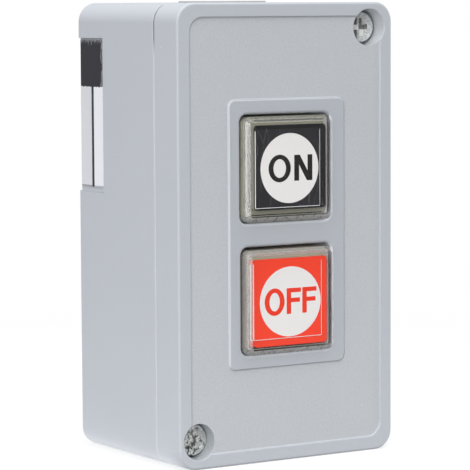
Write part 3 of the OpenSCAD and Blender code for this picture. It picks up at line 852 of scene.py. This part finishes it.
insert_end_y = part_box("screw_inserts")[1].y
for centre in screw_places:
    combine(rear_box, pillar("insert_hole", centre, insert_hole_r, seam_back_y - overrun,
                             insert_end_y, 32))
for end in (-1, 1):
    combine(rear_box, pillar("wall_hole", (0, end * wall_hole_z), wall_hole_r,
                             -back_wall - overrun, overrun, 40))
post_top_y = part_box("on_block_housing")[1].y
screws_low, screws_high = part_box("on_block_screws")
fixing_reach = (screws_high.z - screws_low.z) / 2 - fixing_head_r
for centre in button_centres.values():
    for end in (-1, 1):
        place = moved(centre, (0, end * fixing_reach))
        combine(rear_box, pillar("post", place, post_r, post_top_y, -back_wall + overrun, 40),
                "UNION")
        combine(rear_box, pillar("pilot", place, pilot_r, post_top_y - overrun,
                                 screws_high.y - pilot_play, 24))
for end in (-1, 1):
    combine(rear_box, slab("rail", (end * rail_x, 0), rail_w, rail_h, post_top_y,
                           -back_wall + overrun), "UNION")
print("box edges:", len(rear_box.data.edges))

# %% Cut the cable hole, the knockout and the recess
grommet_low, grommet_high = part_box("cable_grommet")
label_low, label_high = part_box("rating_label")
entry_y = (grommet_low.y + grommet_high.y) / 2
flange_r = (grommet_high.x - grommet_low.x) / 2
entry_r = 8.4 * mm
seat_r = flange_r + 0.1 * mm
seat_depth = 1 * mm
groove_w = 1 * mm
groove_depth = 1.2 * mm
recess_margin = 0.35 * mm
recess_foot_z = label_low.z - 1.2 * mm


def upright_bar(name, radius, low_z, high_z):
    """A round bar that stands on the cable's axis."""
    return round_bar(name, radius, high_z - low_z, (0, entry_y, (low_z + high_z) / 2), 64, False)


combine(rear_box, upright_bar("entry", entry_r, half_h - wall - overrun, half_h + overrun))
combine(rear_box, upright_bar("seat", seat_r, half_h - seat_depth, half_h + overrun))
groove = upright_bar("groove", entry_r, -half_h - overrun, -half_h + groove_depth)
combine(groove, upright_bar("core", entry_r - groove_w, -half_h - 2 * overrun, 0))
combine(rear_box, groove)
combine(rear_box, block("recess", (-half_w - overrun, label_low.y - recess_margin, recess_foot_z),
                        (label_high.x, overrun, label_high.z + recess_margin)))
print("box edges:", len(rear_box.data.edges))

# %% Round the edges of the openings
mouth_round = 0.15 * mm


def on_recess(edge):
    """True for the recess's outer edges, on the left face of the box."""
    return lies_on("x", -half_w)(edge) and is_fold(edge) and all(
        recess_foot_z - near < v.co.z < label_high.z + 0.5 * mm
        and v.co.y > label_low.y - 0.5 * mm for v in edge.verts)


def on_ring(z, *radii):
    """A test for the edges of circles round the cable's axis at height z."""
    return lambda edge: lies_on("z", z)(edge) and is_fold(edge) and any(
        all(abs(math.hypot(v.co.x, v.co.y - entry_y) - r) < 0.1 * mm for v in edge.verts)
        for r in radii)


recess_edges = round_edges(rear_box, mouth_round, 2, on_recess)
groove_edges = round_edges(rear_box, mouth_round, 2, on_ring(-half_h, entry_r, entry_r - groove_w))
seat_edges = round_edges(rear_box, mouth_round, 2, on_ring(half_h, seat_r))
print("bevelled edges:", recess_edges, groove_edges, seat_edges)
finish_piece(rear_box, "case", [smooth_case], "case_plastic", "rear_box")

# %% [markdown]
# ## The seal
# A thin seal closes the seam. It is a flat rubber ring, so a slab is cut out of a slightly larger
# one.

# %% The seal
seal_inset = 0.12 * mm
seal_inner = 1.3 * mm


def seam_slab(name, inset, extra):
    """A slab as the case's outline less inset, that fills the seam and extra on both sides."""
    return slab(name, (0, 0), 2 * (half_w - inset), 2 * (half_h - inset), seam_front_y - extra,
                seam_back_y + extra, corner_r - inset, corner_steps)


seal = combine(seam_slab("seal", seal_inset, 0), seam_slab("inside", seal_inner, overrun))
finish_piece(seal, "case", [seal_rubber], "seal_rubber", "cover_gasket")

# %% [markdown]
# ## The grommet
# The grommet is round about its axis, so half of its section is drawn once and spun. Its lip has a
# soft outer edge, which a bevel on its top rings gives.

# %% Spin the grommet
bore_r = 5 * mm
lip_t = 1.6 * mm
inner_flange_r = entry_r + 2 * mm
play = 0.1 * mm
flange_under_z = half_h - seat_depth
ceiling_z = half_h - wall - play
section = [
    (bore_r, grommet_high.z), (flange_r, grommet_high.z), (flange_r, flange_under_z),
    (entry_r - play, flange_under_z), (entry_r - play, ceiling_z), (inner_flange_r, ceiling_z),
    (inner_flange_r, half_h - wall - lip_t), (bore_r + lip_t, half_h - wall - lip_t),
    (bore_r + lip_t, grommet_low.z), (bore_r, grommet_low.z)]
outline = bpy.data.meshes.new("grommet")
outline.from_pydata([(r, entry_y, z) for r, z in section],
                    [(i, (i + 1) % len(section)) for i in range(len(section))], [])
grommet = put_in_scene("grommet", outline)
open_piece(grommet)
bpy.ops.mesh.spin(steps=64, angle=2 * math.pi, center=(0, entry_y, 0), axis=(0, 0, 1))
bpy.ops.mesh.select_all(action="SELECT")
bpy.ops.mesh.remove_doubles(threshold=0.001 * mm)
bpy.ops.mesh.normals_make_consistent(inside=False)
close_piece()
round_edges(grommet, 0.3 * mm, 4, lambda e: is_fold(e) and lies_on("z", grommet_high.z)(e))
finish_piece(grommet, "case", [grommet_rubber], "seal_rubber", "cable_grommet")

# %% [markdown]
# ## Cover screws
# A pan head is a low cylinder with a rounded edge. Its drive is a cross with slanted walls, so each
# arm is a block whose lower face is made narrower before it is cut out. The arms aren't equally
# deep, because a driver that slips wears one arm more than the next. The second screw is made
# like the first and turned about its axis, because no two screws stop at the same angle.

# %% How to cut a screw
arm_w = 1.35 * mm
arm_len = 4.8 * mm
arm_reach = (arm_len - arm_w) / 4
arm_tips = ((-1, 0, 0.40 * mm), (0, -1, 0.45 * mm), (1, 0, 0.55 * mm), (0, 1, 0.6 * mm))
floor_share = 0.85
head_round = 0.45 * mm
recess_round = 0.1 * mm
shank_r = 1.75 * mm
sunk = 0.2 * mm


def make_screw(name, centre, axis, radius, turned):
    """A pan-head screw on axis with a cross recess, turned about its head's centre."""
    piece = pillar(name, centre, radius, head_top_y, well_floor_y, 64)
    round_edges(piece, head_round, 5, lies_on("y", head_top_y))
    for right, up, depth in arm_tips:
        middle = moved(centre, (right * arm_reach, up * arm_reach))
        arm = slab("arm", middle, arm_w + 2 * arm_reach * abs(right),
                   arm_w + 2 * arm_reach * abs(up), head_top_y - depth, head_top_y + depth)
        pick(arm, "FACE", lies_on("y", head_top_y + depth))
        bpy.ops.transform.resize(value=(floor_share, 1, floor_share))
        close_piece()
        combine(piece, arm)
    round_edges(piece, recess_round, 2, lambda e: is_fold(e) and lies_on("y", head_top_y)(e))
    combine(piece, pillar("shank", axis, shank_r, well_floor_y - sunk, screw_high.y, 32), "UNION")
    open_piece(piece)
    bpy.ops.transform.rotate(value=math.radians(turned), orient_axis="Y",
                             center_override=(centre[0], 0, centre[1]))
    close_piece()
    return piece


print("arms of the cross:", len(arm_tips))

# %% [markdown]
# The upper screw's cross gets painted highlights on its walls and painted shade in two dark pits,
# and both heads get a painted highlight along their edge at the lower right. Those are painted face
# by face.

# %% Make both screws
recess_top = 0.13 * mm
recess_end = max(depth for right, up, depth in arm_tips) + near
pit_depth = 0.5 * mm
straight = 0.97
screw_looks = (("screw_upper", (-0.25 * mm, 0.1 * mm), 3.72 * mm, 2, zinc),
               ("screw_lower", (-0.15 * mm, 0.4 * mm), 3.88 * mm, -24, reflection_painted_zinc))
for (name, shift, radius, turned, metal), axis in zip(screw_looks, screw_places):
    centre = moved(axis, shift)
    made = make_screw(name, centre, axis, radius, turned)
    finish_piece(made, "case", [metal, painted_highlight_zinc, painted_shade_zinc], "zinc_screws", "cover_screws",
                 angle=30)

    def away(face):
        return math.hypot(face.center.x - centre[0], face.center.z - centre[1])

    def in_recess(face):
        return (metal is zinc and away(face) < arm_len / 2
                and recess_top < face.center.y - head_top_y < recess_end)

    # painted highlight on the upper recess walls, painted shade on its deep floors, painted
    # highlight on each head's lower right edge
    walls = paint_faces(made, 1, in_recess)
    pits = paint_faces(made, 2, lambda f: in_recess(f) and f.normal.y < -straight
                       and f.center.y > head_top_y + pit_depth)
    glint = paint_faces(made, 1, lambda f: -straight < f.normal.y < -0.2
                        and f.normal.x > 0.1 and f.normal.z < 0.1
                        and away(f) > radius - head_round - 0.05 * mm)
    print("recess walls:", walls, "dark pits:", pits, "bright edge:", glint)

# %% [markdown]
# ## Clear caps
# Each cap is a hollow clear box with a flat chamfer round its face, which catches the light as a
# bright frame with mitred corners. A rounding would catch only a thin line. A smaller box is taken
# out from behind, and its sides get a hazy finish, which shows through the clear walls. Light that
# enters at one side leaves at another, so a real cap isn't equally bright all round: the faces at
# the right get a lighter grey, the sleeve's grey behind them lightened as painted light, the faces
# at the foot a lighter haze as painted light, and the ON cap's head a darker edge as painted shade.
# Each cap has a little play in its opening, so none sits exactly in the middle.

# %% How to shape a cap
cap_chamfer = 1.1 * mm
chamfer_round = 0.12 * mm
cap_wall = 1.3 * mm
cap_face = 2.2 * mm
cap_r = 1.7 * mm
cap_play = 0.05 * mm
cap_outer = cap_side - 2 * cap_play
cap_inner = cap_outer - 2 * cap_wall
hollow_r = 0.5 * mm
hollow_round = 0.3 * mm


def make_cap(name, centre, front_y, back_y):
    """A clear box with a chamfered face, hollow from behind."""
    cap = slab(name, centre, cap_outer, cap_outer, front_y, back_y, cap_r, 8)
    round_edges(cap, cap_chamfer, 1, lies_on("y", front_y))
    rounded = round_edges(cap, chamfer_round, 2, lambda e: is_fold(e) and all(
        face.normal.y < -0.1 for face in e.link_faces))
    inside = slab("inside", centre, cap_inner, cap_inner, front_y + cap_face, back_y + overrun,
                  hollow_r, 4)
    round_edges(inside, hollow_round, 3, lies_on("y", front_y + cap_face))
    print(name, "rounded edges:", rounded)
    return combine(cap, inside)

# %% Make and paint the caps
cap_shift = {"on": (-0.45 * mm, -0.3 * mm), "off": (-0.15 * mm, -0.4 * mm)}
for side, side_edge, top_edge, side_wall in (("on", on_edge, head_painted_shade, on_wall),
                                             ("off", off_edge, off_edge, off_wall)):
    low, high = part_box(side + "_cap")
    centre = moved(button_centres[side], cap_shift[side])
    cap = make_cap(side + "_clear_cap", centre, low.y, high.y)
    finish_piece(cap, side + "_button",
                 [clear_face, side_edge, side_wall, right_grey_painted_light, foot_painted_light, top_edge],
                 side + "_clear_cap", side + "_cap", angle=25)
    reach = cap_inner / 2
    right_x = centre[0] + reach - near
    foot_z, head_z = centre[1] - reach + near, centre[1] + reach - near
    edge_faces = paint_faces(cap, 1, lambda f: abs(f.normal.y) < 0.98)
    lining = paint_faces(cap, 2, lambda f: abs(f.normal.y) < 0.9 and max(
        abs(f.center.x - centre[0]), abs(f.center.z - centre[1])) < reach + 0.05 * mm)
    # painted light on the right faces and at the foot, painted shade at the head
    grey = paint_faces(cap, 3, lambda f: f.center.x > right_x and (
        f.material_index == 2 or f.material_index and f.normal.x > -0.9))
    foot = paint_faces(cap, 4, lambda f: f.material_index == 1 and f.center.z < foot_z)
    head = paint_faces(cap, 5, lambda f: f.material_index == 1 and f.center.z > head_z)
    print("edge", edge_faces, "lining", lining, "right", grey, "foot", foot, "head", head)

# %% [markdown]
# ## Legend plates and films
# Under each cap lies a plate, and on it a printed film whose cut edge shows as a thin bright line.
# The plate is a coloured skin on a pale core. One slab with two paints would blur where they meet,
# so each layer is a rounded slab of its own. The film's front is inset by the width of the line,
# which gives it a border that is painted pale as a painted highlight of the cut edge. At the top the
# cut is in shadow, so there the border keeps the film's own colour.

# %% How to lay a plate or a film
skin_t = 0.6 * mm
plate_r = 0.9 * mm
plate_round = 0.15 * mm
film_line = 0.1 * mm
film_r = 0.3 * mm
film_round = 0.06 * mm
film_margin = 0.25 * mm


def layer(name, low, high, y_front, y_back, corner, steps):
    """A rounded plate over the whole width and height from low to high."""
    return slab(name, middle_of(low, high), high.x - low.x, high.z - low.z, y_front, y_back,
                corner, steps)


def make_film(name, low, high):
    """A film with soft edges and a border as wide as the bright line."""
    film = layer(name, low, high, low.y, high.y, film_r, 4)
    round_edges(film, film_round, 1, lies_on("y", low.y))
    pick(film, "FACE", lies_on("y", low.y))
    bpy.ops.mesh.inset(thickness=film_line, depth=0)
    close_piece()
    return film


print("film line in millimetres:", film_line / mm)

# %% Make the plates and the films
film_reach = {"on": 0.0, "off": 0.4 * mm}
for side, skin_paint, core_paint, film_paint in (("on", on_black, on_carrier, film_black),
                                                 ("off", off_red, off_carrier, film_red)):
    low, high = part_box(side + "_plate")
    plate = layer(side + "_legend_plate", low, high, low.y, low.y + skin_t, plate_r, 6)
    round_edges(plate, plate_round, 2, lies_on("y", low.y))
    finish_piece(plate, side + "_button", [skin_paint], side + "_plate", side + "_plate")
    core = layer(side + "_plate_core", low, high, low.y + skin_t, high.y, plate_r, 6)
    finish_piece(core, side + "_button", [core_paint], side + "_plate")
    low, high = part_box(side + "_film")
    low.x -= film_reach[side]
    film = make_film(side + "_legend_film", low, high)
    finish_piece(film, side + "_button", [film_paint, film_edge_painted_highlight], "legend_film", side + "_film")
    # painted highlight: the border on the left, the right and the foot is painted pale
    pale = paint_faces(film, 1, lambda f: f.center.z < high.z - film_r and film_margin > min(
        f.center.x - low.x, high.x - f.center.x, f.center.z - low.z))
    print("pale edge faces:", pale)

# %% [markdown]
# ## Lettering
# The words are printed, so each is a very thin layer of ink. Blender's own font could set them,
# but its letters are lighter and rounder than a panel maker's, so they are modelled: the O is an
# oval ring, and the straight letters are bars, joined.

# %% Sizes of the print
ink = 0.012 * mm
letter_h = 6.3 * mm
overshoot = 0.2 * mm
stroke = 1.4 * mm
thin_stroke = 1.08 * mm
slant_w = stroke * 1.15
f_width = 4.2 * mm
f_short = 0.93
f_middle = 0.53
n_width = 5.3 * mm
print("letter height in millimetres:", round(letter_h / mm, 2))

# %% How to make discs and letters
def oval(name, centre, width, height, y_front, y_back):
    """A round bar of width one that is stretched to an oval and moved to its place."""
    piece = pillar(name, (0, 0), 0.5, y_front, y_back, 72)
    open_piece(piece)
    bpy.ops.transform.resize(value=(width, 1, height), center_override=(0, 0, 0))
    bpy.ops.transform.translate(value=(centre[0], 0, centre[1]))
    close_piece()
    return piece


def bar(name, x, z, width, height, ys):
    """A bar whose lower left corner is at x, z; ys are its front and back."""
    return slab(name, (x + width / 2, z + height / 2), width, height, *ys)


def letter_o(name, centre, width, ys):
    """An O: an oval with a smaller one cut out of it."""
    ring = oval(name, centre, width, letter_h + 2 * overshoot, *ys)
    return combine(ring, oval("eye", centre, width - 2 * stroke,
                              letter_h + 2 * (overshoot - thin_stroke),
                              ys[0] - overrun, ys[1] + overrun))


def letter_f(name, x, z, ys):
    """An F whose foot stands at x, z: a post and two arms."""
    piece = bar(name, x, z, stroke * f_short, letter_h, ys)
    for height, reach in ((letter_h - thin_stroke, f_width),
                          (letter_h * f_middle - thin_stroke / 2, f_width * f_short)):
        combine(piece, bar("arm", x + stroke / 2, z + height, reach - stroke / 2, thin_stroke, ys),
                "UNION")
    return piece


def letter_n(name, x, z, ys):
    """An N whose foot stands at x, z: two posts and a slanted bar."""
    piece = bar(name, x, z, stroke, letter_h, ys)
    slant = bar("slant", x, z, slant_w, letter_h, ys)
    pick(slant, "FACE", lies_on("z", z))
    bpy.ops.transform.translate(value=(n_width - slant_w, 0, 0))
    close_piece()
    combine(piece, slant, "UNION")
    return combine(piece, bar("post", x + n_width - stroke, z, stroke, letter_h, ys), "UNION")


print("letters that can be made: O, F, N")

# %% Print the discs and the words
disc_size = {"on": (16.9 * mm, 17.05 * mm), "off": (17.8 * mm, 17.15 * mm)}
disc_place = {"on": (-0.1 * mm, -0.27 * mm), "off": (0, -0.66 * mm)}
word_lift = {"on": 0, "off": 0.1 * mm}
for side, word_ink in (("on", ink_black), ("off", ink_red)):
    x, z = moved(button_centres[side], disc_place[side])
    film_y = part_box(side + "_film")[0].y
    disc = oval(side + "_disc", (x, z), *disc_size[side], film_y - ink, film_y)
    finish_piece(disc, side + "_button", [ink_white], "legend_film")
    ys = (film_y - 2 * ink, film_y - ink)
    z += word_lift[side]
    foot = z - letter_h / 2
    if side == "on":
        letters = [letter_o("on_letter_1", (x - 2.9 * mm, z), 6.45 * mm, ys),
                   letter_n("on_letter_2", x + 1.35 * mm, foot, ys)]
    else:
        letters = [letter_o("off_letter_1", (x - 4.6 * mm, z), 5.8 * mm, ys),
                   letter_f("off_letter_2", x - 1.1 * mm, foot, ys),
                   letter_f("off_letter_3", x + 3.5 * mm, foot, ys)]
    for letter in letters:
        finish_piece(letter, side + "_button", [word_ink], "legend_film")

# %% [markdown]
# ## The label
# The label is a printed foil in a recess. Its black block has a slightly ragged edge and is scuffed
# where hands and walls rub it, and a thin rule divides the pale part. The print could be separate
# thin pieces, but ink has no thickness to speak of here, so it is painted by the material from the
# place on the label.

# %% The label and its pale ground
block_foot_z = 35.2 * mm
rule_depth = 6.3 * mm
rule_w = 1.1 * mm
foot_line_z = label_low.z + 0.35 * mm
back_shade = 0.18
foot_shade = 0.4
label = block("label", label_low, label_high)
round_edges(label, 0.1 * mm, 2, runs_along("x"))
label_paint = new_material("label_print", (0.80, 0.81, 0.85), 0.35, mottle=0.05, specks=0.02,
                           Specular_IOR_Level=0.2)
tree = label_paint.node_tree
place = place_in(tree)
parts = parts_of(tree, place)
height = parts["Z"]
depth = calc(tree, "MULTIPLY", parts["Y"], -1.0)
behind = calc(tree, "LESS_THAN", depth, rule_depth)
at_foot = calc(tree, "LESS_THAN", height, foot_line_z)
dulled = calc(tree, "MULTIPLY_ADD", at_foot, -foot_shade,
              calc(tree, "MULTIPLY_ADD", behind, -back_shade, 1.0))
ground = tree.nodes["Principled BSDF"].inputs["Base Color"]
tree.links.new(shade(tree, ground.links[0].from_socket, dulled), ground)
print("label nodes:", len(tree.nodes))

# %% The label's print
print_black = (0.022, 0.021, 0.028, 1)
scuffed_print = (0.45, 0.45, 0.46, 1)
ragged_reach = 0.7 * mm
rubbed_w = 1.2 * mm
streak_scale = (1.0, 2600.0, 320.0)
scuff_level = 0.44
scuff_share = 0.6
edge_share = 0.4
ragged = calc(tree, "ADD", height, swing(tree, noise(tree, place, 1400.0), ragged_reach))
in_block = calc(tree, "GREATER_THAN", ragged, block_foot_z)
off_rule = calc(tree, "ABSOLUTE", calc(tree, "SUBTRACT", depth, rule_depth))
printed = calc(tree, "MAXIMUM", in_block, calc(tree, "LESS_THAN", off_rule, rule_w / 2))
streaks = noise(tree, add(tree, "Mapping", Vector=place, Scale=streak_scale).outputs[0], 1.0)
off_front = calc(tree, "ABSOLUTE", calc(tree, "SUBTRACT", depth, -label_low.y - 1 * mm))
front_side = calc(tree, "SMOOTH_MIN", 1.0, calc(tree, "DIVIDE", off_front, rubbed_w), 0.1)
off_top = calc(tree, "SUBTRACT", label_high.z, height)
top_side = calc(tree, "MULTIPLY", off_top, edge_share / mm)
kept = calc(tree, "MULTIPLY", calc(tree, "MINIMUM", front_side, top_side), edge_share)
scuffed = calc(tree, "GREATER_THAN", calc(tree, "SUBTRACT", streaks, kept), scuff_level)
worn = blend(tree, calc(tree, "MULTIPLY", scuffed, scuff_share), print_black, scuffed_print)
paint_over(label_paint, printed, worn)
finish_piece(label, "case", [label_paint], "label", "rating_label")

# %% [markdown]
# ## Springs
# A spring is pressed together by the piece that moves. Every spring is the solid's own winding, and
# this script leaves it at its length. The pair of contact springs sits on both sides of the bridge
# and only the front one gets shorter when the button goes in, so the pair is cut in two at the
# bridge.


def shorten(coil):
    """Gives coil a mesh of its own; it isn't pressed here."""
    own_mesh(coil)


for side in ("on", "off"):
    bridge_low, bridge_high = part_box(side + "_bridge")
    bridge_y = (bridge_low.y + bridge_high.y) / 2
    coils = {}
    for name, source, body, kept_side in (
            ("return_coil", "return_spring", "case", 0),
            ("front_coil", "contact_springs", side + "_bridge", -1),
            ("back_coil", "contact_springs", side + "_bridge", 1)):
        node = f"{side}_{source}"
        coil = put_in_scene(f"{side}_{name}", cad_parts[node].data.copy())
        coil.data.materials.clear()
        if kept_side:
            pick(coil, "FACE", lambda f: (f.calc_center_median().y - bridge_y) * kept_side < 0)
            bpy.ops.mesh.delete(type="FACE")
            close_piece()
        replaced = [] if name == "back_coil" else [node]
        finish_piece(coil, body, [spring_steel], "spring_steel", *replaced, angle=60)
        coils[name] = coil
    low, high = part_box(side + "_return_spring")
    shorten(coils["return_coil"])
    shorten(coils["front_coil"])

# %% [markdown]
# ## The pieces inside
# Contact blocks, straps and inner screws sit behind the cover and their solids are already right,
# so they only get a finish, chosen by the name of the piece.

# %% Finish the solids that stay
inner_finishes = {
    "inserts": brass, "on_carrier": on_carrier, "off_carrier": off_carrier,
    "plunger": white_plastic, "bridge": brass, "housing": black_plastic, "lid": white_plastic,
    "contacts": brass, "washers": spring_steel, "screws": spring_steel}
staying = {name: node for name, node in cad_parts.items() if not node.hide_render}
for name, node in staying.items():
    finish = next(finish for word, finish in inner_finishes.items() if word in name)
    node.data.materials.clear()
    node.data.materials.append(finish)
print("solids with a new finish:", len(staying))

# %% [markdown]
# ## Floor
# The photograph was lit by large soft sources on a white ground. A large plane would show its far
# edge as a grey horizon, so the floor fades out round the object, and only the soft shadow under
# the case is left of it. The white ground also throws light back up at the case: beside the left
# wall the floor glows for bounced rays alone, which makes the lower edge there light.

# %% The floor
floor_r = 0.5
fade_out = (0.06, 0.3)
floor_alpha = 0.38
bounce_light = 1.6
bounce_x = (1.5 * mm, 7 * mm)
bounce_y = (-50 * mm, -42 * mm)
bpy.ops.object.select_all(action="DESELECT")
bpy.ops.mesh.primitive_plane_add(size=2 * floor_r, location=(0, 0, cad_low.z))
floor = bpy.context.active_object
floor.name = "floor"
floor_paint = new_material("floor_pale", (0.95, 0.95, 0.95), 0.9, mottle=0.0)
tree = floor_paint.node_tree
shader = tree.nodes["Principled BSDF"]
parts = parts_of(tree, place_in(tree))
away = calc(tree, "SQRT", calc(tree, "ADD", calc(tree, "POWER", parts["X"], 2.0),
                               calc(tree, "POWER", parts["Y"], 2.0)))
tree.links.new(ramp(tree, away, *fade_out, floor_alpha, 0.0), shader.inputs["Alpha"])

beside = calc(tree, "ABSOLUTE", calc(tree, "ADD", parts["X"], half_w))
strip = calc(tree, "MULTIPLY", ramp(tree, beside, *bounce_x, 1.0, 0.0),
             ramp(tree, parts["Y"], *bounce_y))
bounced = calc(tree, "MULTIPLY", add(tree, "LightPath").outputs["Is Diffuse Ray"], strip)
glow = add(tree, "Emission", Color=(1.0, 1.0, 1.0, 1), Strength=bounce_light)
lit = add(tree, "MixShader", i0=bounced, i1=shader.outputs[0], i2=glow.outputs[0])
tree.links.new(lit.outputs[0], tree.nodes["Material Output"].inputs["Surface"])
floor.data.materials.append(floor_paint)
floor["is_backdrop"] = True
print("floor at", round(cad_low.z / mm, 2))

# %% [markdown]
# ## Light
# Three area lights give the soft highlights on the rounded edges. The world is white for the camera
# and softer for the light it gives. Straight opposite the flat fronts it is dark, as behind a
# photographer, so that the clear caps mirror nothing and the black stays black.

# %% The lights
light_distance = 0.9


def soft_light(name, direction, width, height, power):
    """An area light that shines at the middle of the object."""
    data = bpy.data.lights.new(name, "AREA")
    data.shape = "RECTANGLE"
    data.size = width
    data.size_y = height
    data.energy = power
    lamp = put_in_scene(name, data)
    lamp.location = Vector(direction).normalized() * light_distance
    lamp.rotation_euler = (-lamp.location).to_track_quat("-Z", "Y").to_euler()


soft_light("left", (-0.8, -0.56, 0.2), 0.3, 0.7, 3.3)
soft_light("top", (-0.1, -0.45, 1.0), 0.7, 0.7, 3.2)
soft_light("right", (0.95, -0.25, 0.3), 0.6, 0.6, 1.4)
print("lights:", len(bpy.data.lights))

# %% The world
mirrored = Vector((0.54, -0.84, -0.09)).normalized()
dark_spot = (0.88, 0.99)
dark_strength = (0.6, 0.03)
sky_strength = (0.15, 1.5)
world = bpy.data.worlds.new("world")
bpy.context.scene.world = world
world.use_nodes = True
sky = world.node_tree
sky.nodes.clear()
looking = add(sky, "TexCoord").outputs["Generated"]
facing = add(sky, "VectorMath", {"operation": "DOT_PRODUCT"}, i0=looking, i1=mirrored)
dark = ramp(sky, facing.outputs["Value"], *dark_spot, *dark_strength)
overhead = ramp(sky, parts_of(sky, looking)["Z"], -0.3, 1.0, *sky_strength, "LINEAR")
rays = add(sky, "LightPath").outputs
strength = add(sky, "Mix", Factor=rays["Is Diffuse Ray"], A=dark, B=overhead).outputs["Result"]
fill = add(sky, "Background", Color=(0.97, 0.98, 1.0, 1), Strength=strength).outputs[0]
backdrop = add(sky, "Background", Color=(1, 1, 1, 1), Strength=1.0).outputs[0]
mixed = add(sky, "MixShader", i0=rays["Is Camera Ray"], i1=fill, i2=backdrop)
sky.links.new(mixed.outputs[0], add(sky, "OutputWorld").inputs["Surface"])
bpy.context.scene.view_settings.view_transform = "Standard"
print("world nodes:", len(sky.nodes))

# %% [markdown]
# ## Size
# How far the dressed object reaches past the imported model's box, at its upper corner, is printed.

# %% Print how far the object reaches past the box
low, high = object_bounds()
print("grew by, in millimetres:", [round((high[i] - cad_high[i]) / mm, 3) for i in range(3)])
